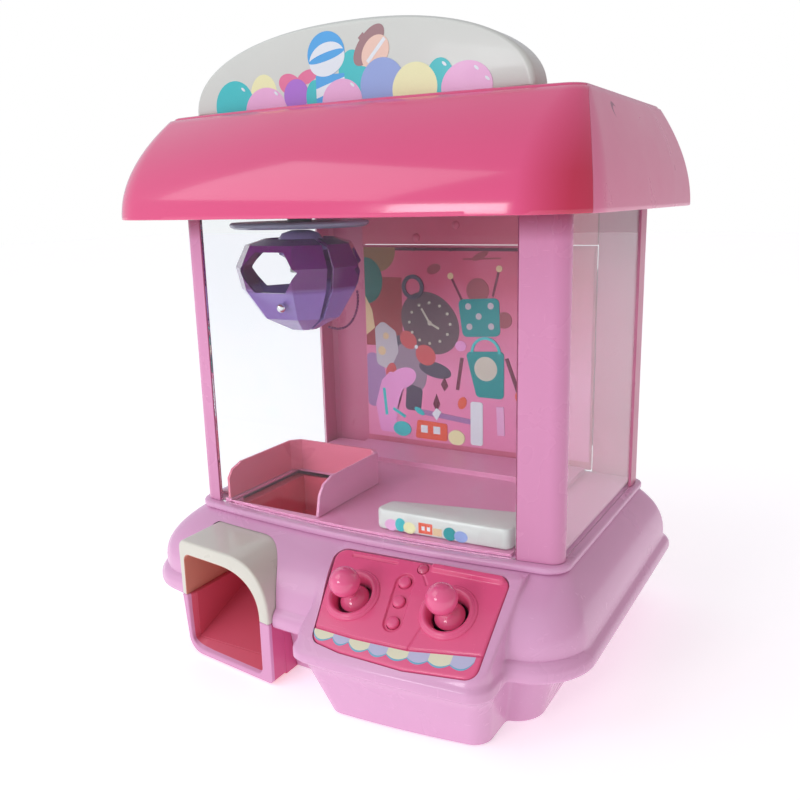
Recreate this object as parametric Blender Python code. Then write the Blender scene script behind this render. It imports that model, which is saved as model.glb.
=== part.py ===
"""Toy claw crane machine: a table-top cabin on a flared base, with a crane that runs on rails in the roof.

+X is to the machine's right as a player faces it, +Y is to the back, +Z is up, and z = 0 is the table.
Sizes below are in millimetres, and make() turns them into metres.
"""
import math

import bmesh
import bpy
from mathutils import Matrix, Vector

MM = 0.001
GAP = 0.3                       # running clearance between separate pieces
WALL = 2.5                      # moulded wall thickness

# Base
LIP_HALF = 150.0                # half width over the lip
LIP_FRONT = -90.8               # y of the lip's front, before the bow
LIP_REAR = 121.0
DECK = 85.0                     # top of the base, where the cabin stands
SKIRT_TOP = 80.5
SKIRT_FOOT = 47.5

# Cabin
CABIN_HALF = 126.5
CABIN_FRONT = -53.5             # y at the front corners, before the bow
CABIN_REAR = 109.5
CABIN_BOW = 10.0
CABIN_TOP = 272.2
POST_LEFT_WIDTH = 15.0
POST_RIGHT_WIDTH = 25.0
PANE = 1.5

# Roof
ROOF_LOW = 271.8
ROOF_HIGH = 332.5
ROOF_SEAM = [(-80.8, 260), (-80.8, 272), (-79.3, 285), (-74.8, 298),
             (-67, 311), (-56, 324), (-46, 332.5), (-38, 340)]
SIGN_MIDDLE = -2.5
SIGN_HALF = 109.5
SIGN_TOP = 375.0

# Control panel: its plane passes through PANEL_Y, PANEL_Z and slopes down to the front
PANEL_Y = -67.0
PANEL_Z = 82.0
PANEL_SLOPE = math.radians(33.5)
PANEL_CORNERS = [(8.0, -66.0), (105.7, -63.0), (104.5, -3.0), (-6.0, -6.6)]
PANEL_THICK = 3.0
CUPS = {"left": (19.2, -34.8), "right": (78.0, -31.5)}
CUP_OUT = 16.6
CUP_IN = 11.5
STICK_PIVOT = -8.0              # height of the stick's pivot over the panel plane
KNOB_RADIUS = 8.7
KNOB_HEIGHT = 14.0
BUTTONS = [(46.2, -19.9), (47.9, -32.0), (50.0, -44.8)]
BUTTON_RADIUS = 3.6
LIGHT = (53.3, -9.3)            # centre of the small lamp on the panel
LIGHT_RADIUS = 3.2

# Prize outlet
CHUTE_LEFT = -106.0
CHUTE_RIGHT = -30.0
CHUTE_SPLIT = 40.0              # height where the pink outlet ends and the hood begins
HOOD_TOP = 76.5
MOUTH_FRONT = -112.0            # y of the mouth at its right side
MOUTH_SKEW = 0.114              # the mouth leans back by this much for each mm to the left
SHAFT_REAR = 22.0
FENCE_TOP = 110.0

# Crane, at its home place over the outlet
HOME_X = -69.0
HOME_Y = -8.0
RAIL_Z = 284.0
RAIL_Y = (-46.0, 96.0)
RAIL_RADIUS = 2.0
ROD_Z = 292.0
ROD_X = 8.0
WHEEL_RADIUS = 8.7
DISC_RADIUS = 45.0
DRUM_RADIUS = 5.0
DRUM_Z = 279.0
PIVOT_R = 19.5                  # jaw pivot's distance from the claw's axis
PIVOT_Z = 253.0
JAW_ANGLES = (-90.0, 30.0, 150.0)
JAW_PROFILE = [(24.0, 257.5), (36.0, 254.0), (43.0, 240.0), (40.0, 226.0), (27.0, 207.0), (9.0, 198.0)]
JAW_COLUMNS = (-57.0, -27.0, 27.0, 57.0)

# Colours, sRGB
PALE_PINK = (214, 160, 200)
SIDE_PINK = (205, 145, 182)
HOT_PINK = (222, 78, 130)
DEEP_PINK = (190, 92, 112)
CREAM = (214, 212, 200)
PURPLE = (110, 50, 130)
LILAC = (170, 145, 205)
GREY = (150, 150, 160)
STEEL = (190, 190, 195)
DARK = (45, 42, 46)
CLEAR = (225, 235, 240)
GREEN = (30, 95, 60)

materials = {}


def material(name, colour, roughness=0.35, metallic=0.0, alpha=1.0):
    """A Principled material, made once for each name."""
    if name in materials:
        return materials[name]
    mat = bpy.data.materials.new(name)
    mat.use_nodes = True
    shader = mat.node_tree.nodes["Principled BSDF"]
    linear = [(c / 255.0) ** 2.2 for c in colour]
    shader.inputs["Base Color"].default_value = (*linear, 1.0)
    shader.inputs["Roughness"].default_value = roughness
    shader.inputs["Metallic"].default_value = metallic
    shader.inputs["Alpha"].default_value = alpha
    mat.diffuse_color = (*linear, alpha)
    materials[name] = mat
    return mat


def make(name, verts, faces, mat=None, smooth=False):
    """An object from points in millimetres; a piece with no material is a hidden cutter."""
    mesh = bpy.data.meshes.new(name)
    mesh.from_pydata([Vector(v) * MM for v in verts], [], faces)
    bm = bmesh.new()
    bm.from_mesh(mesh)
    bmesh.ops.remove_doubles(bm, verts=bm.verts, dist=1e-6)
    bmesh.ops.recalc_face_normals(bm, faces=bm.faces)
    bm.to_mesh(mesh)
    bm.free()
    obj = bpy.data.objects.new(name, mesh)
    bpy.context.scene.collection.objects.link(obj)
    if mat is None:
        obj.hide_render = True
        obj.display_type = "WIRE"
    else:
        mesh.materials.append(mat)
    if smooth:
        mesh.shade_smooth()
        mesh.set_sharp_from_angle(angle=math.radians(40))
    return obj


def bevel(obj, width, segments=2):
    mod = obj.modifiers.new("bevel", "BEVEL")
    mod.width = width * MM
    mod.segments = segments
    mod.limit_method = "ANGLE"
    mod.angle_limit = math.radians(50)
    return obj


def combine(obj, tool, operation):
    """Adds a Boolean of obj with tool, and hides tool."""
    mod = obj.modifiers.new(operation.lower() + "_" + tool.name, "BOOLEAN")
    mod.operation = operation
    mod.object = tool
    tool.hide_render = True
    tool.display_type = "WIRE"
    return obj


def cut(obj, *tools):
    for tool in tools:
        combine(obj, tool, "DIFFERENCE")
    return obj


def fuse(obj, *tools):
    for tool in tools:
        combine(obj, tool, "UNION")
    return obj


# ---------------------------------------------------------------- solids

def loft(name, loops, mat=None, smooth=False):
    """A closed solid through loops of 3D points, all with the same count."""
    count = len(loops[0])
    verts = [p for loop in loops for p in loop]
    faces = [list(reversed(range(count))), [(len(loops) - 1) * count + i for i in range(count)]]
    for k in range(len(loops) - 1):
        for i in range(count):
            j = (i + 1) % count
            faces.append([k * count + i, k * count + j, (k + 1) * count + j, (k + 1) * count + i])
    return make(name, verts, faces, mat, smooth)


def level(points, z):
    return [(x, y, z) for x, y in points]


def upright(name, points, low, high, mat=None):
    """A plan outline, extruded along Z."""
    return loft(name, [level(points, low), level(points, high)], mat)


def sideways(name, points, left, right, mat=None):
    """An outline of (y, z) points, extruded along X."""
    return loft(name, [[(x, y, z) for y, z in points] for x in (left, right)], mat)


def box(name, low, high, mat=None):
    (x0, y0, z0), (x1, y1, z1) = low, high
    return upright(name, [(x0, y0), (x1, y0), (x1, y1), (x0, y1)], z0, z1, mat)


def frame_of(axis):
    """Two directions square to axis, and axis itself."""
    w = Vector(axis).normalized()
    side = Vector((1, 0, 0)) if abs(w.x) < 0.9 else Vector((0, 1, 0))
    u = (side - w * side.dot(w)).normalized()
    return u, w.cross(u), w


def turned(name, profile, centre, axis=(0, 0, 1), mat=None, count=20, smooth=True):
    """A solid turned from (radius, height) points; it starts and ends on the axis, or closes on itself."""
    u, v, w = frame_of(axis)
    centre = Vector(centre)
    verts, rings, faces = [], [], []
    for r, h in profile:
        ring = []
        for i in range(1 if r < 1e-6 else count):
            a = 2 * math.pi * i / count
            verts.append(centre + w * h + u * (r * math.cos(a)) + v * (r * math.sin(a)))
            ring.append(len(verts) - 1)
        rings.append(ring)
    pairs = list(zip(rings, rings[1:]))
    if len(rings[0]) > 1:
        pairs.append((rings[-1], rings[0]))
    for a, b in pairs:
        for i in range(count):
            j = (i + 1) % count
            quad = [a[i % len(a)], a[j % len(a)], b[j % len(b)], b[i % len(b)]]
            faces.append(list(dict.fromkeys(quad)))
    return make(name, verts, faces, mat, smooth)


def rod(name, start, end, radius, mat=None, count=16):
    start, end = Vector(start), Vector(end)
    length = (end - start).length
    return turned(name, [(0, 0), (radius, 0), (radius, length), (0, length)], start, end - start, mat, count)


# ---------------------------------------------------------------- outlines

def bulge(t, power=2.0):
    """Share of the way out, for a wall that rounds over: 0 at the top, 1 at the foot."""
    return 1 - (1 - t) ** power


def outline(half, front, rear, bow, r_front, r_rear, arc=4, steps=8):
    """A rounded rectangle in plan, with its front edge bowed forward."""
    corners = [(half - r_front, front + r_front, r_front, -90), (half - r_rear, rear - r_rear, r_rear, 0),
               (r_rear - half, rear - r_rear, r_rear, 90), (r_front - half, front + r_front, r_front, 180)]
    points = []
    for cx, cy, r, start in corners:
        for i in range(arc + 1):
            a = math.radians(start + 90 * i / arc)
            points.append((cx + r * math.cos(a), cy + r * math.sin(a)))
    for i in range(1, steps):
        points.append(((-1 + 2 * i / steps) * (half - r_front), front))
    middle = (front + rear) / 2
    return [(x, y - bow * (1 - (x / half) ** 2) if y < middle else y) for x, y in points]


def moved_in(corners, distance):
    """The corners of a convex outline, listed counter-clockwise, after each edge moves in."""
    lines = []
    for (x0, y0), (x1, y1) in zip(corners, corners[1:] + corners[:1]):
        d = Vector((x1 - x0, y1 - y0)).normalized()
        lines.append((Vector((x0, y0)) + Vector((-d.y, d.x)) * distance, d))
    result = []
    for (p, d), (q, e) in zip(lines[-1:] + lines[:-1], lines):
        t = ((q - p).x * e.y - (q - p).y * e.x) / (d.x * e.y - d.y * e.x)
        result.append(tuple(p + d * t))
    return result


def rounded(corners, radius, arc=4):
    """Rounds the corners of a convex outline, listed counter-clockwise."""
    points = []
    for i, corner in enumerate(corners):
        c = Vector(corner)
        a = (Vector(corners[i - 1]) - c).normalized()
        b = (Vector(corners[(i + 1) % len(corners)]) - c).normalized()
        half_angle = a.angle(b) / 2
        centre = c + (a + b).normalized() * (radius / math.sin(half_angle))
        start = c + a * (radius / math.tan(half_angle)) - centre
        sweep = math.pi - 2 * half_angle
        for k in range(arc + 1):
            t = sweep * k / arc
            points.append((centre.x + start.x * math.cos(t) - start.y * math.sin(t),
                           centre.y + start.x * math.sin(t) + start.y * math.cos(t)))
    return points


def front_y(x):
    """The cabin's bowed front."""
    return CABIN_FRONT - CABIN_BOW * (1 - (x / CABIN_HALF) ** 2)


def on_panel(u, v, h):
    """A point given on the sloping control panel: u to the right, v up the slope, h out of it."""
    c, s = math.cos(PANEL_SLOPE), math.sin(PANEL_SLOPE)
    return (u, PANEL_Y + v * c - h * s, PANEL_Z + v * s + h * c)


PANEL_NORMAL = (0.0, -math.sin(PANEL_SLOPE), math.cos(PANEL_SLOPE))


def panel_slab(name, points, low, high, mat=None):
    return loft(name, [[on_panel(u, v, h) for u, v in points] for h in (low, high)], mat)


def pivot(name, place, *objects):
    """An empty on a joint's axis, which carries the pieces that move about it."""
    empty = bpy.data.objects.new(name, None)
    bpy.context.scene.collection.objects.link(empty)
    empty.location = Vector(place) * MM
    for obj in objects:
        obj.parent = empty
        obj.matrix_parent_inverse = Matrix.Translation(-empty.location)
    return empty


# ---------------------------------------------------------------- base

def base_loops(inset, top):
    """Plan outlines from the table up to the deck; inset moves the walls in, for the hollow."""
    rows = [(1.0, 122, -78, 106, 10, 14, 12), (36.0, 131, -83, 112, 12, 16, 13),
            (36.6, 148.8, -89.6, 119.8, 19, 27, 14), (38.6, LIP_HALF, LIP_FRONT, LIP_REAR, 19, 28, 14),
            (43.0, LIP_HALF, LIP_FRONT, LIP_REAR, 19, 28, 14), (45.8, 147.4, -88.6, 119.0, 18.5, 27, 13)]
    rise = inset
    loops = []
    for z, half, front, rear, bow, r_front, r_rear in rows:
        low = z + rise if 30 < z < 40 else z - (1.5 if inset else 0)
        loops.append(level(outline(half - inset, front + inset, rear - inset, bow,
                                   r_front - inset, r_rear - inset), low))
    steps = 6
    for k in range(steps + 1):
        t = 1 - k / steps
        side = bulge(t, 2.6)
        z = SKIRT_FOOT + (SKIRT_TOP - SKIRT_FOOT) * (1 - t) - (1.0 if inset else 0)
        loops.append(level(outline(128 + 18 * side - inset, -56 - 31.3 * side + inset, 111.5 + 6 * side - inset,
                                   10 + 8 * t, 12 + 14 * t - inset, 11 + 2 * t - inset), z))
    if inset:
        loops.append([(x, y, top) for x, y, z in loops[-1]])
        return loops
    for z, proud in ((80.9, 1.4), (81.6, 2.0), (84.2, 2.0), (top, 1.2)):
        loops.append(level(outline(128 + proud, -56 - proud, 111.5 + proud, 10, 12, 11), z))
    return loops


def console_outline(x0, x1, front, curl, radius, back=-50.0):
    """The console's plan: its front bends back to the right as curl * x * x."""
    points = [(x0, back)]
    for i in range(5):
        a = math.radians(180 + 90 * i / 4)
        points.append((x0 + radius + radius * math.cos(a), front + radius + radius * math.sin(a)))
    for i in range(1, 6):
        points.append((x0 + radius + (x1 - x0 - 2 * radius) * i / 6, front))
    for i in range(5):
        a = math.radians(270 + 90 * i / 4)
        points.append((x1 - radius + radius * math.cos(a), front + radius + radius * math.sin(a)))
    points.append((x1, back))
    return [(x, y + curl * x * x if y < back else y) for x, y in points]


def console_solid(name, inset, plane_height):
    """The bulge that carries the control panel, cut off along the panel's plane."""
    rows = [(1.0, 13, 106, -117.5, 9e-4, 9), (33.0, -1, 111, -125, 6e-4, 10), (33.6, -4.5, 112.5, -129.5, 5e-4, 11),
            (35.0, -5, 113, -130, 5e-4, 11), (39.5, -5, 113, -130, 5e-4, 11), (41.5, -4.4, 112.4, -129, 5e-4, 11),
            (42.0, -3, 111, -127.5, 5e-4, 10), (79.5, -3, 111, -127.5, 5e-4, 10)]
    loops = []
    for z, x0, x1, front, curl, radius in rows:
        low = z + inset if 30 < z <= 35 else z - (2.0 if inset else 0)
        loops.append(level(console_outline(x0 + inset, x1 - inset, front + inset, curl, radius - inset / 2), low))
    solid = loft(name, loops)
    over = panel_slab("cut_over_" + name, [(-60, -110), (180, -110), (180, 70), (-60, 70)], plane_height, 90)
    return cut(solid, over)


def arch(inset, low):
    """Outline (x, z) of the outlet: square at the left, a large rounded shoulder at the right."""
    left, right = CHUTE_LEFT + inset[0], CHUTE_RIGHT - inset[1]
    top, r = HOOD_TOP - inset[2], 5.0
    points = [(left, low)]
    for i in range(5):
        a = math.radians(180 - 90 * i / 4)
        points.append((left + r + r * math.cos(a), top - r + r * math.sin(a)))
    reach, power, steps = 34.0, 2.4, 8
    for i in range(steps + 1):
        a = math.radians(90 - 90 * i / steps)
        points.append((right - reach + reach * max(math.cos(a), 0) ** (2 / power),
                       CHUTE_SPLIT + (top - CHUTE_SPLIT) * max(math.sin(a), 0) ** (2 / power)))
    points.append((right, low))
    return points


def forward(name, points, front, back, skew=0.0, mat=None):
    """An outline of (x, z) points extruded along Y, with a front that leans back to the left."""
    near = [(x, front + skew * (CHUTE_RIGHT - x), z) for x, z in points]
    return loft(name, [near, [(x, back, z) for x, z in points]], mat)


def build_base():
    pink = material("base_pink", PALE_PINK, 0.3)
    base = loft("base_shell", base_loops(0, DECK), pink)
    console = console_solid("add_console", 0, 0.0)
    fuse(base, console)
    hollow = loft("cut_base_hollow", base_loops(WALL, DECK - WALL))
    fuse(hollow, console_solid("add_console_hollow", WALL, -6.3))
    cut(base, hollow)
    cut(base, panel_slab("cut_panel_seat", rounded(moved_in(PANEL_CORNERS, -0.4), 7.4), -3.3, 30))
    cut(base, panel_slab("cut_panel_hole", rounded(moved_in(PANEL_CORNERS, 3.5), 4.0), -20, 1))
    cut(base, forward("cut_outlet", arch((-0.4, -0.4, -0.4), -5), -140, -45))
    cut(base, box("cut_deck", (-108, -42, 75), (108, 98, 95)))
    cut(base, box("cut_deck_hole", (-103, -54, 75), (-33, 24, 95)))
    cut(base, box("cut_switch_slot", (-67.5, 95, 14.5), (-56.5, 120, 19.5)))

    plate_mat = material("plate_pink", SIDE_PINK, 0.4)
    plate = upright("bottom_plate", outline(118.5, -74.5, 102.5, 10, 11, 9, steps=6), 2.0, 4.5, plate_mat)
    for i, (x, y) in enumerate(((-100, 60), (100, 60), (60, -70), (100, -30))):
        fuse(plate, rod("add_pad_%d" % i, (x, y, 0), (x, y, 3), 7))
    cut(plate, box("cut_plate_outlet", (-120, -130, -5), (-26, 27, 10)))
    cut(plate, box("cut_plate_door", (-9, 9, -5), (79, 71, 10)))

    box_mat = material("battery_box_grey", GREY, 0.5)
    bay = box("battery_box", (-11, 7, 4.8), (81, 73, 36), box_mat)
    cut(bay, box("cut_bay", (-8.7, 9.3, 0), (78.7, 70.7, 33.5)))
    door = box("battery_door", (-8.6, 9.4, 2.0), (78.6, 70.6, 4.5), plate_mat)
    cut(door, rod("cut_door_screw", (35, 66, 1), (35, 66, 6), 1.8))
    screw_profile = [(0, 3.2), (3, 3.2), (3, 2.0), (1.5, 2.0), (1.5, -7), (0, -7)]
    cut(door, rod("cut_door_screw_head", (35, 66, 1), (35, 66, 3.4), 3.4))
    turned("battery_door_screw", screw_profile, (35, 66, 5.2), (0, 0, -1), material("screw_steel", STEEL, 0.25, 1.0))

    chute_mat = material("outlet_pink", DEEP_PINK, 0.4)
    chute = forward("prize_chute", [(-102, 1.0), (CHUTE_RIGHT, 1.0), (CHUTE_RIGHT, 39.7), (CHUTE_LEFT, 39.7)],
                    MOUTH_FRONT, SHAFT_REAR + 2, MOUTH_SKEW, chute_mat)
    fuse(chute, box("add_shaft", (CHUTE_LEFT, -55.2, 30), (CHUTE_RIGHT, SHAFT_REAR + 2, 82)))
    path = [(-140, 6), (-107, 6), (21.5, 55), (21.5, 90), (-52.7, 90), (-52.7, 66), (-140, 66)]
    cut(chute, sideways("cut_prize_path", path, -98.5, -38))
    under = [(-96, -5), (-96, 6.5), (18, 50), (40, 50), (40, -5)]
    cut(chute, sideways("cut_under_ramp", under, -97.5, -33))

    cream = material("hood_cream", CREAM, 0.35)
    hood = forward("chute_hood", arch((0, 0, 0), CHUTE_SPLIT), MOUTH_FRONT, -62, MOUTH_SKEW, cream)
    cut(hood, forward("cut_hood_hollow", arch((4.5, 8, 9), 20), -140, -40))

    floor_mat = material("floor_pink", DEEP_PINK, 0.45)
    tray = box("floor_tray", (-121.5, -43.5, DECK + GAP), (121.5, 103.5, DECK + 2.3), floor_mat)
    xs = [-109 + 207 * i / 6 for i in range(7)]
    lobe = [(x, front_y(x) + PANE + 1.3) for x in xs] + [(98, -40), (-109, -40)]
    fuse(tray, upright("add_tray_front", lobe, DECK + GAP, DECK + 2.3))
    fuse(tray, box("add_tray_step", (-90, 60, DECK + 1), (90, 100, DECK + 6)))
    cut(tray, box("cut_tray_hole", (-103, -54, 80), (-33, 21, 95)))

    fence_plan = [(-106, -53.4), (-104, -53.4), (-104, 14), (-98, 20), (-38, 20), (-32, 14), (-32, -59), (-30, -59),
                  (-30, 16), (-36, 22), (-100, 22), (-106, 16)]
    fence = upright("chute_fence", fence_plan, DECK + 2.6, FENCE_TOP, floor_mat)
    shoulder = [(-39.7, 112), (-41, 109.4), (-49, 107), (-54, 101), (-58, 84), (-75, 84), (-75, 112)]
    cut(fence, sideways("cut_fence_shoulder", shoulder, -120, -10))

    cover_plan = rounded([(10, -56), (97, -53), (97, -22), (13, -39)], 5)
    cover = upright("mechanism_cover", cover_plan, DECK + 2.6, 100.5, cream)
    bevel(cover, 2.0)


# ---------------------------------------------------------------- controls

def build_stick(side, u, v):
    """One joystick: a gimbal ring hung in the panel's cup, and the stick that rocks in the ring."""
    hot = material("knob_pink", HOT_PINK, 0.2)
    steel = material("gimbal_grey", GREY, 0.4)
    centre = on_panel(u, v, 0)
    ring = turned("joystick_%s_gimbal" % side, [(4.2, STICK_PIVOT - 1.6), (6.6, STICK_PIVOT - 1.6),
                                                (6.6, STICK_PIVOT + 1.6), (4.2, STICK_PIVOT + 1.6)],
                  centre, PANEL_NORMAL, steel, 24)
    for end in (-1, 1):
        fuse(ring, rod("add_trunnion_%s_%d" % (side, end), on_panel(u, v + 6.2 * end, STICK_PIVOT),
                       on_panel(u, v + 11.8 * end, STICK_PIVOT), 0.8, None, 10))
    cut(ring, rod("cut_ring_%s" % side, on_panel(u - 9, v, STICK_PIVOT), on_panel(u + 9, v, STICK_PIVOT),
                  1.05, None, 12))
    stem, inner, outer, skirt = 1.8, 8.6, 10.0, 60.0
    neck = 2.6
    profile = [(0, STICK_PIVOT - 9), (stem, STICK_PIVOT - 9)]
    start = math.degrees(math.asin(stem / inner))
    for i in range(5):
        a = math.radians(start + (skirt - start) * i / 4)
        profile.append((inner * math.sin(a), STICK_PIVOT + inner * math.cos(a)))
    end = math.degrees(math.asin(neck / outer))
    for i in range(5):
        a = math.radians(skirt + (end - skirt) * i / 4)
        profile.append((outer * math.sin(a), STICK_PIVOT + outer * math.cos(a)))
    low = math.asin(neck / KNOB_RADIUS)
    for i in range(7):
        a = low + (math.pi - low) * i / 6
        profile.append((KNOB_RADIUS * max(math.sin(a), 0), KNOB_HEIGHT - KNOB_RADIUS * math.cos(a)))
    profile[-1] = (0, KNOB_HEIGHT + KNOB_RADIUS)
    stick = turned("joystick_%s_stick" % side, profile, centre, PANEL_NORMAL, hot, 16)
    fuse(stick, rod("add_stick_pin_%s" % side, on_panel(u - 6.2, v, STICK_PIVOT), on_panel(u + 6.2, v, STICK_PIVOT),
                    0.7, None, 10))
    pivot("pivot_joystick_%s" % side, on_panel(u, v, STICK_PIVOT), ring, stick)


def build_controls():
    hot = material("panel_pink", HOT_PINK, 0.25)
    panel = panel_slab("control_panel", rounded(PANEL_CORNERS, 7.0), -PANEL_THICK, 0, hot)
    for side, (u, v) in CUPS.items():
        centre = on_panel(u, v, 0)
        rim = [(CUP_IN, -11), (CUP_IN + 2, -11), (CUP_IN + 2, -1), (CUP_OUT, -1), (CUP_OUT, 0.6), (14.6, 2.5),
               (12.8, 2.5), (CUP_IN, 1.2)]
        cut(panel, rod("cut_cup_%s" % side, on_panel(u, v, -9), on_panel(u, v, 9), CUP_IN + 1, None, 24))
        fuse(panel, turned("add_cup_%s" % side, rim, centre, PANEL_NORMAL, None, 24))
        cut(panel, rod("cut_trunnion_%s" % side, on_panel(u, v - 14, STICK_PIVOT), on_panel(u, v + 14, STICK_PIVOT),
                       1.15, None, 12))
    (u0, v0), (u1, v1) = BUTTONS[0], BUTTONS[-1]
    stadium = rounded([(u1 - 5.3, v1 - 5.1), (u1 + 5.3, v1 - 5.1), (u0 + 5.3, v0 + 5.1), (u0 - 5.3, v0 + 5.1)], 4.8)
    cut(panel, panel_slab("cut_stadium", stadium, -1.0, 3))
    for i, (u, v) in enumerate(BUTTONS):
        cut(panel, rod("cut_button_%d" % (i + 1), on_panel(u, v, -9), on_panel(u, v, 9), BUTTON_RADIUS + 0.4))
        flange = BUTTON_RADIUS + 1.0
        profile = [(0, -5.6), (flange, -5.6), (flange, -4.4), (BUTTON_RADIUS, -4.4), (BUTTON_RADIUS, 0.9), (2.8, 1.7),
                   (0, 2.0)]
        button = turned("button_%d" % (i + 1), profile, on_panel(u, v, 0), PANEL_NORMAL,
                        material("button_pink", HOT_PINK, 0.3), 16)
        pivot("pivot_button_%d" % (i + 1), on_panel(u, v, 0), button)
    cut(panel, rod("cut_light", on_panel(*LIGHT, -9), on_panel(*LIGHT, 9), LIGHT_RADIUS + 0.4))
    lamp = [(0, -3), (LIGHT_RADIUS, -3), (LIGHT_RADIUS, 0.2), (2.6, 1.3), (0, 1.7)]
    turned("start_light", lamp, on_panel(*LIGHT, 0), PANEL_NORMAL, material("light_pink", HOT_PINK, 0.2), 16)
    cut(panel, panel_slab("cut_groove", [(12, -10.6), (36, -10.6), (36, -9.6), (12, -9.6)], -1.0, 2))
    for side, (u, v) in CUPS.items():
        build_stick(side, u, v)

    board = box("pcb", (16, -100, 34), (94, -62, 35.6), material("board_green", GREEN, 0.5))
    for i, (x, y, w) in enumerate(((30, -84, 6), (55, -78, 9), (80, -88, 5))):
        fuse(board, box("add_chip_%d" % i, (x, y, 35), (x + w, y + w, 38)))
    turned("speaker", [(0, 4.9), (16, 4.9), (16, 7), (9, 14), (9, 18), (0, 18)], (-70, 68, 0), (0, 0, 1),
           material("speaker_black", DARK, 0.6), 20)
    switch = box("power_switch", (-66, 103, 15), (-62, 111.5, 19), material("switch_black", DARK, 0.5))
    pivot("pivot_power_switch", (-64, 107, 17), switch)


# ---------------------------------------------------------------- cabin

def build_cabin():
    pink = material("post_pink", PALE_PINK, 0.3)
    foot = DECK + GAP
    wall = 3.0
    for name, side, width in (("left", -1, POST_LEFT_WIDTH), ("right", 1, POST_RIGHT_WIDTH)):
        r = 8.0
        inner = CABIN_HALF - width
        corner_y = front_y(CABIN_HALF - r) + r
        plan = [(inner, front_y(inner)), ((inner + CABIN_HALF - r) / 2, front_y((inner + CABIN_HALF - r) / 2))]
        for i in range(5):
            a = math.radians(-90 + 90 * i / 4)
            plan.append((CABIN_HALF - r + r * math.cos(a), corner_y + r * math.sin(a)))
        plan += [(CABIN_HALF, -45.5), (CABIN_HALF - wall, -45.5), (CABIN_HALF - 5.5, -49.5),
                 (inner, front_y(inner) + wall)]
        upright("post_front_%s" % name, [(side * x, y) for x, y in plan], foot, CABIN_TOP, pink)
        plan = [(93, CABIN_REAR), (93, CABIN_REAR - wall), (CABIN_HALF - wall - 3, CABIN_REAR - wall),
                (CABIN_HALF - wall, CABIN_REAR - wall - 3), (CABIN_HALF - wall, 89), (CABIN_HALF, 89)]
        for i in range(5):
            a = math.radians(90 * i / 4)
            plan.append((CABIN_HALF - r + r * math.cos(a), CABIN_REAR - r + r * math.sin(a)))
        upright("post_rear_%s" % name, [(side * x, y) for x, y in plan], foot, CABIN_TOP, pink)
        clear = material("clear_pane", CLEAR, 0.05, 0.0, 0.2)
        low, high = sorted((side * (CABIN_HALF - 2.5), side * (CABIN_HALF - 2.5 + PANE)))
        box("%s_window" % name, (low, -45.2, foot), (high, 88.7, CABIN_TOP), clear)

    left, right, steps = GAP + POST_LEFT_WIDTH - CABIN_HALF, CABIN_HALF - POST_RIGHT_WIDTH - GAP, 12
    xs = [left + (right - left) * i / steps for i in range(steps + 1)]
    plan = [(x, front_y(x) + 0.5) for x in xs] + [(x, front_y(x) + 0.5 + PANE) for x in reversed(xs)]
    upright("front_window", plan, foot, CABIN_TOP, clear)

    header = box("back_header", (-92.7, 105, 247), (92.7, 108, CABIN_TOP), pink)
    for i, (x, z) in enumerate(((-45, 252), (-12, 261))):
        stud = [(0, 0), (3, 0), (3, 1), (1.5, 2.2), (0, 2.4)]
        fuse(header, turned("add_stud_%d" % i, stud, (x, 105.2, z), (0, -1, 0), None, 12))

    door_low, door_high, hinge_x, hinge_y = 88.0, 246.5, 91.0, 112.4
    door = box("rear_door", (-92.5, 104.8, door_low), (92.5, 107.3, door_high), pink)
    pin_mat = material("pin_steel", STEEL, 0.3, 1.0)
    hinge = rod("door_hinge", (hinge_x, hinge_y, 105), (hinge_x, hinge_y, 230), 1.0, pin_mat, 12)
    for i, z in enumerate((106, 227)):
        fuse(hinge, box("add_bracket_%d" % i, (89, 109.8, z - 1), (99, 114.5, z + 1)))
    for i, z in enumerate((125, 200)):
        knuckle = rod("add_knuckle_%d" % i, (hinge_x, hinge_y, z), (hinge_x, hinge_y, z + 14), 2.6, None, 16)
        fuse(door, knuckle, box("add_leaf_%d" % i, (82, 106.5, z), (91, 112, z + 14)))
        cut(door, rod("cut_knuckle_%d" % i, (hinge_x, hinge_y, z - 1), (hinge_x, hinge_y, z + 15), 1.3, None, 16))
    card = box("backdrop_card", (-91.5, 103.8, 94), (91.5, 104.5, 245), material("card_pink", (225, 120, 150), 0.6))
    pivot("pivot_rear_door", (hinge_x, hinge_y, 160), door, card)

    latch_x, latch_z, reach = -98.0, 166.0, 11.0        # the latch stands upright, clear of the door
    ends = []
    for z, radius, start in ((latch_z, 5.0, 180), (latch_z + reach, 3.5, 0)):
        for i in range(7):
            a = math.radians(start + 30 * i)
            ends.append((latch_x + radius * math.cos(a), z + radius * math.sin(a)))
    latch = loft("door_latch", [[(x, y, z) for x, z in ends] for y in (109.8, 112.6)],
                 material("latch_pink", HOT_PINK, 0.3))
    fuse(latch, rod("add_latch_screw", (latch_x, 111, latch_z), (latch_x, 113.8, latch_z), 2.2, None, 12))
    pivot("pivot_door_latch", (latch_x, 111, latch_z), latch)


# ---------------------------------------------------------------- roof

def roof_loops(inset):
    loops = []
    steps = 7
    for k in range(steps + 1):
        t = 1 - k / steps
        out = bulge(t, 1.95)
        z = ROOF_LOW + (ROOF_HIGH - ROOF_LOW) * (1 - t)
        if k == 0 and inset:
            z -= 3
        if k == steps:
            z -= 0.8 + inset
        loops.append(level(outline(132.5 + 17.3 * out - inset, -53 - 47 * out + inset, 100 + 30 * out - inset,
                                   9.5, 8 + 25 * out - inset, 7 + 5 * out - inset), z))
    if not inset:
        loops.append(level(outline(131.5, -52, 99, 9.5, 8, 7), ROOF_HIGH))
    return loops


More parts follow.
